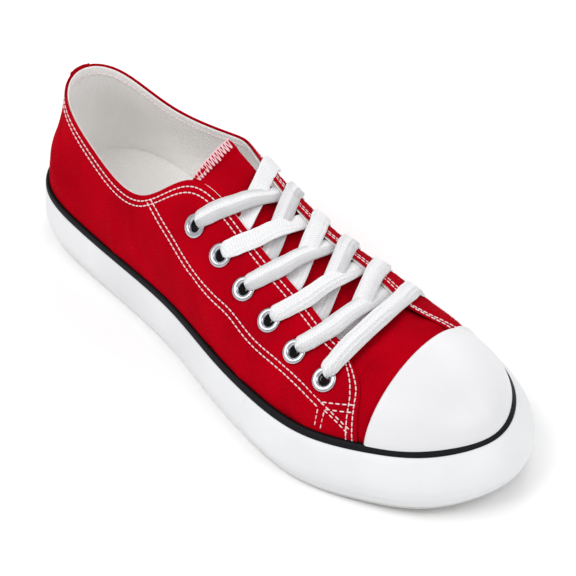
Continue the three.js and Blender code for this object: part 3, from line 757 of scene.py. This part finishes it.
def quarter(side):
    """Side panel with its eyestay: from the heel to the curved front edge."""
    a, tau = shares(390, 88)
    s = on_side(np.maximum(a * quarter_front(tau), 1e-6), side)
    low, high = foot_param(s), edge_param(s)
    t = low + (high - low) * tau
    points = skin(s, t)
    ease = smooth(0, 0.2, tau) * smooth(1, 0.85, tau)
    lift = CANVAS["lift"] + undulation(points) * ease
    lift += crease_lift(points, side) - seam_press(points, side)
    for centre, _ in eyelet_holes(side):    # pressed flat under the flange, raised just outside it
        gap = np.linalg.norm(points - centre, axis=-1) - EYELET["outer"]
        lift += 0.18 * np.exp(-((gap - 2.2) / 1.3) ** 2) - 0.15 * smooth(1.4, 0.2, gap)
    lift += 0.12 * smooth(0.02, 0.1, tau) * smooth(0.3, 0.1, tau)
    if side > 0:
        s, t, lift = s[::-1], t[::-1], lift[::-1]
    parts = Parts()
    skin_sheet(parts, s, t, lift, CANVAS["thickness"], eyelet_holes(side))
    return parts


def build_quarters():
    for name, side in SIDES.items():
        quarter(side).piece(f"quarter_{name}", RED, "canvas", "upper")


def build_heel_strip():
    """Narrow strip of canvas sewn up the middle of the heel."""
    edge = heel_section(HEEL_STRIP["half"])
    a, tau = shares(34, 80)
    s = (2 * a - 1) * edge + 0 * tau
    low = foot_param(s)
    t = low + (below_top(s, 0.15) - low) * tau
    seam = 0.74                   # where the stitches pull the strip in, as a share of its half width
    lift = HEEL_STRIP["lift"] + 0.12 * np.sin(tau * 23) * smooth(0, 0.1, tau)
    lift = lift - 0.22 * np.exp(-((np.abs(2 * a - 1) - seam) / 0.09) ** 2)
    parts = Parts()
    skin_sheet(parts, s, t, lift, HEEL_STRIP["thickness"])
    parts.piece("heel_strip_canvas", RED, "canvas")


# ---- vamp and tongue -------------------------------------------------------------------------------
def grid_normals(grid):
    """Normals of a roughly level grid of points, turned to face up."""
    normals = unit(np.cross(np.gradient(grid, axis=0), np.gradient(grid, axis=1)))
    return normals * np.sign(normals[len(grid) // 2, grid.shape[1] // 2, 2])


def tongue_edge(x):
    """The tongue's free medial edge near its top, before it passes under the eyestay."""
    f = (x - 96.5) / 14.0
    return np.array([96.5, 4.0, 76.5]) + f * np.array([14.0, -0.2, -4.5])


def tongue_line(s, count):
    """One line across the vamp and tongue: under one eyestay, over the instep, under the other."""
    x = float(at("topX", s))
    depth = 3.5 - 2.6 * smooth(192, 213, x)
    down = below_foot(s)
    wide = smooth(6.45, 7.2, s)
    lateral_lap = 13 + (down[0] - 13) * wide
    medial_lap = 10 * smooth(118, 132, x)
    medial_lap = medial_lap + (down[1] - medial_lap) * wide
    half = 40
    lateral = spot(np.full(half, s), -1, np.linspace(lateral_lap, 0, half), np.full(half, -depth))[0]
    medial = spot(np.full(half, s), 1, np.linspace(0, medial_lap, half), np.full(half, -depth))[0]
    a, b = lateral[-1], medial[0]
    if x < 124:
        b = tongue_edge(x) + (b - tongue_edge(x)) * smooth(112, 124, x)
    if medial_lap <= 0:
        medial = b[None]
    else:
        medial = medial + (b - medial[0]) * np.linspace(1, 0, half)[:, None]
    v = np.linspace(0, 1, 24)[1:-1, None] if np.linalg.norm(b - a) > 0.5 else np.zeros((0, 1))
    over = a + (b - a) * v
    sag = 1.2 * 4 * v * (1 - v) * smooth(112, 130, x) * (1 - smooth(196, 212, x))
    over[:, 2] -= sag[:, 0]
    return resample(np.concatenate([lateral, over, medial]), count)


def below_foot(s):
    """Lengths down both sides of the skin at s, from its top to just behind the black line."""
    lengths = []
    for side in (-1, 1):
        q = on_side(s, side)
        run = rib_samples(q)[1][0]
        lengths.append(run[-1] - np.interp(float(foot_param(q)), STEPS, run))
    return lengths


def vamp_and_tongue():
    """The vamp and the tongue are one cloth that passes under both eyestays.

    The tongue's top edge comes from under the lateral eyestay to a corner, and on over the instep
    to its peak. A dozen rows lead from it down to the first line of the cloth.
    """
    stations = np.concatenate([np.linspace(3.95, 7.0, 100), np.linspace(7.02, 8.05, 70)])
    count = 141
    grid = np.array([tongue_line(float(s), count) for s in stations])
    v = np.linspace(0, 1, count)[:, None]
    under = spot(3.86, -1, TONGUE["lap"], -3.6)[0]
    corner, peak = np.array(TONGUE["corner"]), np.array(TONGUE["peak"])
    share = TONGUE["lap"] / (TONGUE["lap"] + np.linalg.norm(peak - corner))
    past = np.clip((v - share) / (1 - share), 0, 1)
    over = corner + (peak - corner) * past + 1.6 * np.sin(np.pi * past) * (0, 0, 1)
    top = np.where(v < share, under + (corner - under) * np.minimum(v / share, 1), over)
    back = [grid[0] * (1 - f) + top * f + np.array([0.0, 0, 0.9]) * math.sin(math.pi * f)
            for f in np.arange(12, 0, -1) / 12]
    grid = np.concatenate([back, grid])
    x, y = grid[..., 0], grid[..., 1]
    waves = 0.22 * np.sin(x / 5.2 + y / 9.0) * np.sin(y / 6.4 - x / 21.0)
    grid[..., 2] += waves * smooth(232, 215, x)
    for centre_x, depth, width in ((208.0, 0.5, 2.6), (214.5, -0.3, 2.4), (202.0, 0.35, 2.2)):
        grid[..., 2] -= depth * np.exp(-((x + 0.12 * np.abs(y + 10) - centre_x) / width) ** 2)
    parts = Parts()
    normals = grid_normals(grid)
    thick_sheet(parts, grid, normals, TONGUE["thickness"])
    return parts, grid, normals


def overlock(grid, normals):
    """Looped thread over the tongue's top edge, lying on the cloth."""
    rows, count = grid.shape[:2]
    first = int(count * OVERLOCK["from"])
    edge = grid[0, first:]
    run = run_along(edge)
    loops = []
    for k in range(int(run[-1] / OVERLOCK["pitch"])):
        place_along = first + np.interp(OVERLOCK["pitch"] * k, run, np.arange(count - first))
        j = min(int(place_along), count - 2)
        column = grid[:, j] + (grid[:, j + 1] - grid[:, j]) * (place_along - j)
        down = 0.1 if k % 2 == 0 else OVERLOCK["depth"] + random.normal(0, 0.25)
        depth = run_along(column)
        row = int(np.interp(down, depth, np.arange(rows)))
        loops.append(along_line(down, depth, column) + normals[row + 1, j] * OVERLOCK["lift"])
    parts = Parts()
    tube(parts, smooth_line(np.array(loops), 0.45), OVERLOCK["radius"])
    tube(parts, resample(edge, 120) + normals[1, first] * 0.1, 0.4)
    return parts


def tube(parts, path, radius, sides=6):
    """A round thread along a path, with closed ends."""
    along = unit(np.gradient(path, axis=0))
    aside = unit(np.cross(along, np.array([0.13, 0.31, 0.94])))
    up = np.cross(aside, along)
    turn = np.linspace(0, 2 * np.pi, sides, endpoint=False)
    sections = (path[:, None] + radius * (np.cos(turn)[:, None] * aside[:, None]
                                          + np.sin(turn)[:, None] * up[:, None]))
    sweep(parts, sections, False)


def build_vamp():
    parts, grid, normals = vamp_and_tongue()
    parts.piece("vamp_tongue", RED, "canvas", "tongue")
    overlock(grid, normals).piece("tongue_edge_thread", PINK_THREAD, "canvas")


# ---- stitches --------------------------------------------------------------------------------------
def capsule():
    """A short stitch along X: unit length and radius, as rings of points and faces."""
    rings, sides = ((-0.5, 0.35), (-0.38, 0.85), (0.0, 1.0), (0.38, 0.85), (0.5, 0.35)), 6
    turn = np.linspace(0, 2 * np.pi, sides, endpoint=False)
    points = [(x, r * math.cos(a), r * math.sin(a)) for x, r in rings for a in turn]
    faces = [(i * sides + j, i * sides + (j + 1) % sides, (i + 1) * sides + (j + 1) % sides,
              (i + 1) * sides + j) for i in range(len(rings) - 1) for j in range(sides)]
    ends = [tuple(range(sides))[::-1], tuple(range((len(rings) - 1) * sides, len(rings) * sides))]
    return np.array(points), faces, ends


CAPSULE, CAPSULE_FACES, CAPSULE_ENDS = capsule()


def stitch_row(parts, line, normals):
    """Stitches a pitch apart along a line, each slightly sunk into the cloth."""
    run, length, radius = run_along(line), STITCH["length"], STITCH["radius"]
    count = int(run[-1] / STITCH["pitch"])
    for middle in (np.arange(count) + 0.5) * run[-1] / count:
        a, b = (along_line(middle + share * length, run, line) for share in (-0.5, 0.5))
        normal = unit(along_line(middle, run, normals))
        along = unit(b - a + random.normal(0, 0.05, 3))
        aside = unit(np.cross(normal, along))
        up = np.cross(along, aside)
        centre = (a + b) / 2 + up * (radius * 0.45 - STITCH["sink"])
        shape = centre + CAPSULE * (length, radius, radius) @ np.array([along, aside, up])
        start = parts.size
        parts.add(shape, CAPSULE_FACES)
        parts.faces.extend([[start + k for k in end] for end in CAPSULE_ENDS])


def build_stitches():
    """Every seam of the quarters. The first two rows, at the edge, don't follow the cloth's waves."""
    for name, side in SIDES.items():
        parts = Parts()
        for index, (line, normals) in enumerate(SEAMS[side]):
            wave = undulation(line) if index > 1 else 0.0
            lift = crease_lift(line, side) - seam_press(line, side) + wave + 0.14
            stitch_row(parts, line + normals * lift[:, None], normals)
        stitch_row(parts, *strip_seam(side))
        parts.piece(f"stitches_{name}", WHITE_THREAD, "lace")


# ---- lace and eyelets ------------------------------------------------------------------------------
def lace_route():
    """Control points of the one lace, each as control() gives them.

    It comes up through each eyelet, runs over the eyestay and straight across the throat, and
    passes under the opposite edge to come up through the next eyelet there.
    """
    route = []
    for side in (1, -1):
        points = []
        for k in range(EYELET["count"] - 1):
            points.extend(strand(side if k % 2 == 0 else -side, k))
        route.append(points)
    first, second = route
    return first + lace_bar() + second[::-1]


GATHERED = (1.4, 0.6)    # half width and half thickness of the lace inside an eyelet
FLAT = (LACE["width"] / 2, LACE["thickness"] / 2)


# Where each crossing passes the throat's edges: section numbers at its own edge and at the far one.
LACE_EDGES = {-1: {"own": (4.55, 4.98, 5.40, 5.93, 6.60), "far": (4.64, 5.04, 5.45, 5.91, 6.54)},
              1: {"own": (4.32, 4.76, 5.20, 5.63, 6.18), "far": (4.75, 5.17, 5.62, 6.20, 6.92)}}
LACE_BAR = {-1: 7.08, 1: 6.86}


def control(s, side, down, lift, shape, towards):
    """A point on or under an eyestay, its normal, the lace's direction, half width and thickness."""
    return [*spot(s, side, down, lift), towards, shape]


def out_of_eyelet(s, side, lead, here):
    """Control points from inside an eyelet to where the lace lies on its flange."""
    depth = EYELET["from_edge"]
    return [control(s, side, depth - 1.5, -1.9, GATHERED, here),
            control(s + 0.03 * lead, side, depth - 1.75, 0.3, GATHERED, here)]


def strand(side, k):
    """From an eyelet, over the eyestay, across and under the opposite eyestay to the next eyelet."""
    start, end = EYELET_S[side][k], EYELET_S[-side][k + 1]
    own, far = LACE_EDGES[side]["own"][k], LACE_EDGES[side]["far"][k]
    depth, lead = EYELET["from_edge"], own - start
    rim, other = spot(own, side, 0.0, LACE["over"])[0], spot(far, -side, 0.0, LACE["under"])[0]
    hole, beyond = spot(start, side, depth)[0], spot(end, -side, depth)[0]
    here, there = unit(rim - hole), unit(beyond - other)
    out = [*out_of_eyelet(start, side, lead, here),
           control(start + 0.16 * lead, side, depth - 3.3, 1.75, (3.3, 0.75), here),
           control(start + 0.42 * lead, side, depth - 7.4, 1.35, FLAT, here),
           control(start + 0.7 * lead, side, depth - 12.2, LACE["over"], FLAT, here),
           control(own, side, 0.0, LACE["over"], FLAT, here)]
    a, b = out[-1][1], spot(far, -side, 0.0)[1]
    wave = (0.6, 1.2, 0.8, 0.1) if side < 0 else (0.2, -0.2, -0.5, -0.8)
    for f, bump in zip((0.2, 0.42, 0.64, 0.84), wave):
        point = rim + (other - rim) * f + np.array([0, 0, bump])
        out.append([point, unit(a + (b - a) * f), unit(other - rim), FLAT])
    out.append(control(far, -side, 0.6, LACE["under"], FLAT, there))
    out.append(control(far + 0.5 * (end - far), -side, depth * 0.5, LACE["under"] - 0.1, FLAT, there))
    out.append(control(end, -side, depth - 3.2, LACE["under"] - 0.1, (3.0, 0.8), there))
    return out


def lace_bar():
    """The straight stretch across the front, down into the last eyelets on both sides."""
    depth, ends = EYELET["from_edge"], []
    for side in (-1, 1):
        s, edge = EYELET_S[side][-1], LACE_BAR[side]
        hole, rim = spot(s, side, depth)[0], spot(edge, side, 0.0)[0]
        here, lead = unit(rim - hole), edge - s
        ends.append([*out_of_eyelet(s, side, lead, here),
                     control(s + 0.16 * lead, side, depth - 3.3, 1.8, (3.3, 0.75), here),
                     control(s + 0.5 * lead, side, depth - 8.8, 1.6, FLAT, here),
                     control(edge, side, 0.6, LACE["over"] + 0.35, FLAT, here)])
    lateral, medial = ends
    a, b = lateral[-1], medial[-1]
    over = []
    for f in (0.25, 0.5, 0.75):
        point = a[0] + (b[0] - a[0]) * f + np.array([0, 0, 0.5 * math.sin(math.pi * f)])
        over.append([point, unit(a[1] + (b[1] - a[1]) * f), unit(b[0] - a[0]), FLAT])
    return lateral + over + medial[::-1]


def build_lace():
    """The flat lace, swept along its route; its width turns with the route and never flips over."""
    table = []
    for point, normal, towards, shape in lace_route():
        across = unit(np.cross(normal, towards))
        if table and np.dot(across, table[-1][3:6]) < 0:
            across = -across
        table.append([*point, *across, *shape])
    table = np.array(table)
    run = run_along(table[:, :3])
    x = np.linspace(0, run[-1], int(run[-1] / 0.75))
    path, across, shape = np.split(hermite(table, run, x), (3, 6), axis=1)
    along = unit(np.gradient(path, axis=0))
    across = unit(across - along * np.sum(across * along, -1, keepdims=True))
    up = np.cross(along, across)
    turn = np.linspace(0, 2 * np.pi, 20, endpoint=False)
    c, d = np.cos(turn), np.sin(turn)
    flat, round_edge = np.sign(c) * np.abs(c) ** 0.6, np.sign(d) * np.abs(d) ** 0.45
    breath = 1 + 0.03 * np.sin(x / 7.0) + 0.02 * np.sin(x / 3.1)
    wide = (shape[:, 0] * breath)[:, None] * flat
    high = shape[:, 1][:, None] * round_edge * (1 + 0.06 * np.cos(2 * turn))
    parts = Parts()
    sweep(parts, path[:, None] + wide[..., None] * across[:, None] + high[..., None] * up[:, None], False)
    nodes = [f"lace_crossing_{k + 1}" for k in range(EYELET["count"] - 1)]
    parts.piece("lace_cotton", LACE_CLOTH, "lace", *nodes, "lace_bar")


# Profiles of an eyelet, radius and height over the canvas: bright flange, dull barrel with its base.
# The barrel and its base are near black: painted shade for the dark inside of the hole.
EYELET_PROFILES = {
    "ring": ((2.85, -0.85), (2.95, 0.1), (5.0, 0.1), (5.2, 0.22), (5.16, 0.5), (4.85, 0.78), (4.3, 0.95),
             (3.7, 0.98), (3.2, 0.82), (2.8, 0.45), (2.5, -0.05), (2.34, -0.5), (2.3, -0.85)),
    "barrel": ((2.95, -2.4), (2.95, -0.92), (2.36, -0.92), (2.4, -1.9), (0.5, -2.05), (0.5, -2.35),
               (2.85, -2.5))}


def build_eyelets():
    turn = np.linspace(0, 2 * np.pi, 40, endpoint=False)
    for name, side in SIDES.items():
        for k, s in enumerate(EYELET_S[side]):
            centre, normal = spot(s, side, EYELET["from_edge"], 0.05)
            along = unit(np.cross(normal, (0, 0, 1)))
            up = np.cross(normal, along)
            spokes = [along * math.cos(a) + up * math.sin(a) for a in turn]
            # The ring is bright nickel; the barrel's near-black metal is painted shade inside the hole.
            for kind, metal in (("ring", NICKEL), ("barrel", PAINTED_SHADE_BARREL)):
                profile = EYELET_PROFILES[kind]
                parts = Parts()
                sweep(parts, [[centre + spoke * r + normal * h for r, h in profile] for spoke in spokes])
                parts.piece(f"eyelet_{name}_{kind}_{k + 1}", metal, "metal", f"eyelet_{name}_{k + 1}",
                            weld=0.005)


# ---- rubber ----------------------------------------------------------------------------------------
def cap_edge(side, t):
    """Section number where the skin at rib parameter t meets the plane of the cap's rear edge."""
    s = np.linspace(6.5, 8.6, 420)
    found = []
    for value in np.atleast_1d(t):
        p = skin(on_side(s, side), value + 0 * s)
        found.append(np.interp(CAP["start"], cap_plane(p), s))
    return np.array(found)


def rounded(ease):
    """The rise of a quarter circle, as ease goes from 0 to 1."""
    return np.sqrt(np.clip(1 - (1 - ease) ** 2, 0, 1))


def build_cap():
    m = 64
    a, tau = shares(120, m)
    usual = at_height(8.0 + 0 * tau[0], foxing_top(8.0) - CAP["tuck"] + 0 * tau[0])
    halves = []
    for side in SIDES.values():
        start = cap_edge(side, usual + (1 - usual) * tau[0])[None, :]
        lateral = start + (TOE - start) * a
        q = on_side(lateral, side)
        low = at_height(q, foxing_top(q) - CAP["tuck"])
        halves.append((lateral if side < 0 else LOOP - lateral, low + (1 - low) * tau))
    s, t = (np.concatenate([lateral, medial[-2::-1]]) for lateral, medial in zip(*halves))
    n = len(s)
    inner, outer = offset_skin(s, t, CAP["under"]), offset_skin(s, t, CAP["over"])
    back = np.linalg.norm(outer - outer[[0]], axis=-1)
    front = np.linalg.norm(outer - outer[[-1]], axis=-1)
    ease = np.clip(np.minimum(back, front) / CAP["round"], 0, 1)
    outer = inner + (outer - inner) * (0.5 + 0.5 * rounded(ease))[..., None]
    parts = Parts()
    parts.add(outer, grid_faces(n, m), uv_of(outer))
    parts.add(inner, grid_faces(n, m)[:, ::-1], uv_of(inner))
    for strip, flip in (((outer[0], inner[0]), True), ((outer[-1], inner[-1]), False),
                        ((outer[:, 0], inner[:, 0]), False)):
        strip = np.stack(strip)
        faces = grid_faces(*strip.shape[:2])
        parts.add(strip, faces[:, ::-1] if flip else faces, uv_of(strip))
    parts.piece("toe_cap_rubber", CAP_RUBBER, "toe_rubber", "toe_cap", weld=0.02)


def around(count):
    """Section numbers once round the shoe, evenly spaced along the sole's outline."""
    s = np.linspace(0, LOOP, 4001)
    x, y = at("x", s), at("y", s)
    d = np.concatenate([[0], np.cumsum(np.hypot(np.diff(x), np.diff(y)))])
    return np.interp(np.linspace(0, d[-1], count, endpoint=False), d, s)


def build_foxing():
    s = around(460)
    base = spring(s)
    low, high = base + SOLE_LIP + 0.1, foxing_top(s) - stripe_height(s) - 0.4
    outline = []      # height and inset from the wall
    for f in np.linspace(0, 1, 24):
        corner = 0.5 * (1 - min(f / 0.05, 1)) ** 2 + 0.2 * max(0, (f - 0.97) / 0.03)
        outline.append((low + (high - low) * f, corner - 0.18))
    plate = base + OUTSOLE + 0.1
    outline += [(high + 0.1, 0.9), (high + 0.1, FOXING_WALL), ((low + high) / 2, FOXING_INNER),
                (plate, FOXING_INNER), (plate, 1.7), (low, 1.7)]
    parts = Parts()
    sweep(parts, np.stack([wall_point(s, z, inset) for z, inset in outline], 1))
    parts.piece("sidewall_rubber", RUBBER, "rubber", "foxing")


def build_line():
    s = around(460)
    top, low = foxing_top(s) + 0.3, foxing_top(s) - stripe_height(s) - 0.3
    outline = ((0.0, 1.5), (0.0, 0.2), (0.1, -0.02), (0.3, -0.12), (0.5, -0.03), (0.7, -0.12),
               (0.92, 0.0), (1.0, 0.25), (1.0, 1.5))      # share of the height, inset from the wall
    parts = Parts()
    sweep(parts, np.stack([wall_point(s, low + (top - low) * f, inset) for f, inset in outline], 1))
    parts.piece("black_line_rubber", BLACK, "line", "foxing_stripe")


def build_bumper():
    """The toe's second layer of sidewall, its ends and edges rounded into the wall."""
    n = 300
    a, f = shares(n, 18)
    start = float(section_at("x", BUMPER_START)) + 0.16 * (1 - f)
    s = start + (LOOP - 2 * start) * a
    low, high = spring(s) + OUTSOLE + 0.9, foxing_top(s) - stripe_height(s) - 0.5
    z = low + (high - low) * f
    proud = 0.2 + 0.55 * rounded(np.clip(np.minimum(a, 1 - a) * n / 5, 0, 1))
    edge = np.sqrt(np.clip(1 - (2 * f - 1) ** 8, 0, 1))
    outer, inner = wall_point(s, z, -proud * (0.35 + 0.65 * edge)), wall_point(s, z, 0.3)
    parts = Parts()
    thick_sheet(parts, outer, unit(outer - inner), 0.9, 0.1)
    parts.piece("toe_bumper_rubber", RUBBER, "rubber", "toe_bumper")


# The outsole's side: height over its underside and inset from the wall.
TREAD_SIDE = ((0.0, 1.2), (0.4, 0.5), (0.8, 0.25), (SOLE_LIP, 0.25), (SOLE_LIP, 1.8), (OUTSOLE, 1.8),
              (OUTSOLE, FOXING_INNER))


def build_outsole():
    n, m = 300, 110
    s = np.linspace(0, TOE, n)[:, None]
    v = np.linspace(0, 1, m)[None, :]
    parts = Parts()
    a, b = (wall_point(q, spring(s), TREAD_SIDE[0][1]) for q in (s, mirror(s)))
    bottom = a + (b - a) * v[..., None]
    x, y = bottom[..., 0], bottom[..., 1]
    zigzag = np.abs(np.mod(y / TREAD["zigzag"], 1) - 0.5) * 2
    wave = np.sin(2 * np.pi * (x + TREAD["sway"] * zigzag) / TREAD["pitch"])
    inside = smooth(0, 0.035, v) * smooth(1, 0.965, v) * smooth(4, 9, x) * smooth(270, 262, x)
    bottom[..., 2] += TREAD["depth"] * smooth(-0.25, 0.25, wave) * inside
    parts.add(bottom, grid_faces(n, m)[:, ::-1], uv_of(bottom))
    for q, flip in ((s, False), (mirror(s), True)):
        wall = np.concatenate([wall_point(q, spring(q) + up, inset) for up, inset in TREAD_SIDE], 1)
        faces = grid_faces(*wall.shape[:2])
        parts.add(wall, faces[:, ::-1] if flip else faces, uv_of(wall))
    lid = np.concatenate([wall_point(q, spring(s) + OUTSOLE, FOXING_INNER) for q in (s, mirror(s))], 1)
    parts.add(lid, grid_faces(n, 2), uv_of(lid))
    parts.piece("outsole_tread", TREAD_RUBBER, "tread", "outsole", weld=0.01)


# ---- inside ----------------------------------------------------------------------------------------
def build_insole():
    s = np.linspace(0, TOE, 240)[:, None]
    v = np.linspace(0, 1, 60)[None, :]
    rows = []
    for q in (s, mirror(s)):
        inset = wall_inset(q, foxing_top(q)) + FOXING_WALL + INSOLE["inset"]
        rows.append(inset_point(q, inset, FOOT + 0.5 * spring(q) + INSOLE["thickness"]))
    a, b = rows
    top = a + (b - a) * v[..., None]
    cup = (2 * v - 1) ** 2
    top[..., 2] += INSOLE["cup"] * cup ** 2 - 0.6 + 0.25 * np.sin(top[..., 0] / 12) * (1 - cup)
    parts = Parts()
    thick_sheet(parts, top, grid_normals(top), INSOLE["cloth"])
    parts.piece("footbed_cloth_cover", FOOTBED, "lining", "insole")


def build_lining():
    tau = np.linspace(0, 1, 66)[None, :]
    s = np.linspace(-LINING["ends"], LINING["ends"], 460)[:, None] + 0 * tau
    throat = smooth(3.9, 4.2, np.abs(s))
    low, high = at_height(s, LINING["low"] + 0 * s), below_top(s, 0.5 - 0.5 * throat)
    t = low + (high - low) * tau
    pull = np.exp(-((rib_drop(s, t) - LINING["seam"]) / 0.7) ** 2) * (1 - throat)
    lift = LINING["lift"] - 0.1 * smooth(0.9, 1, tau) - 0.22 * pull
    parts = Parts()
    holes = [hole for side in SIDES.values() for hole in eyelet_holes(side, -1.0)]
    skin_sheet(parts, s, t, lift, LINING["thickness"], holes)
    parts.piece("lining_cloth", LINING_CLOTH, "lining")
    q = np.mod(np.linspace(-3.8, 3.8, 500), LOOP)
    t = below_top(q, LINING["seam"] + 0 * q)
    normal = skin_normal(q, t)
    stitches = Parts()
    stitch_row(stitches, skin(q, t) - normal * 1.98, -normal)
    stitches.piece("lining_stitches", WHITE_THREAD, "lace")


def rib_drop(s, t):
    """Distance down the skin from its top to rib parameter t."""
    lengths = rib_samples(s.ravel())[1]
    run = [row[-1] - np.interp(v, STEPS, row) for row, v in zip(lengths, t.ravel())]
    return np.array(run).reshape(s.shape)


# ---- stage, camera and lights ----------------------------------------------------------------------
CAMERA = {"azimuth": 47.86, "elevation": 40.42, "distance": 1.3054, "lens": 195.95,
          "aim": (140.57, -3.08, 28.0)}
# Name, direction from the shoe, distance and size in metres, power in watts.
LIGHTS = (("key", (-0.3, -0.75, 1.1), 1.3, 1.0, 7.4), ("fill", (0.9, 0.2, 0.9), 1.4, 1.0, 4.9),
          ("back", (-0.6, 0.9, 0.8), 1.4, 0.9, 4.2))


def build_stage():
    bpy.ops.mesh.primitive_plane_add(size=12, location=(0, 0, 0))
    floor = bpy.context.object
    floor.name = "floor"
    m = Shader("floor", Roughness=0.9, Specular_IOR_Level=0.1)
    pale = m.mix(m.noise(3.0), (0.96, 0.96, 0.96, 1), (0.98, 0.98, 0.98, 1))
    floor.data.materials.append(m.set(Base_Color=pale))

    world = bpy.data.worlds.new("studio")
    bpy.context.scene.world = world
    world.use_nodes = True
    sky = world.node_tree.nodes["Background"]
    sky.inputs["Color"].default_value = (1, 1, 1, 1)
    sky.inputs["Strength"].default_value = 0.62


def area_light(name, direction, distance, size, power):
    lamp = bpy.data.lights.new(name, "AREA")
    lamp.shape, lamp.size, lamp.energy = "DISK", size, power
    piece = bpy.data.objects.new(name, lamp)
    back = Vector(direction).normalized()
    piece.location = back * distance + Vector((0, 0, 0.03))
    piece.rotation_mode = "QUATERNION"
    piece.rotation_quaternion = back.to_track_quat("Z", "Y")
    bpy.context.scene.collection.objects.link(piece)


def build_camera():
    a, e = math.radians(CAMERA["azimuth"]), math.radians(CAMERA["elevation"])
    back = Vector((math.sin(a) * math.cos(e), -math.cos(a) * math.cos(e), math.sin(e)))
    camera = bpy.data.objects.new("camera", bpy.data.cameras.new("camera"))
    camera.data.lens = CAMERA["lens"]
    camera.location = Vector(place(CAMERA["aim"])) + back * CAMERA["distance"]
    camera.rotation_mode = "QUATERNION"
    camera.rotation_quaternion = back.to_track_quat("Z", "Y")
    bpy.context.scene.collection.objects.link(camera)
    bpy.context.scene.camera = camera


for build in (build_quarters, build_heel_strip, build_vamp, build_stitches, build_eyelets, build_lace,
              build_cap, build_foxing, build_line, build_bumper, build_outsole, build_insole,
              build_lining, build_stage, build_camera):
    build()
for light in LIGHTS:
    area_light(*light)
bpy.context.scene.view_settings.view_transform = "Standard"

bpy.context.view_layer.update()
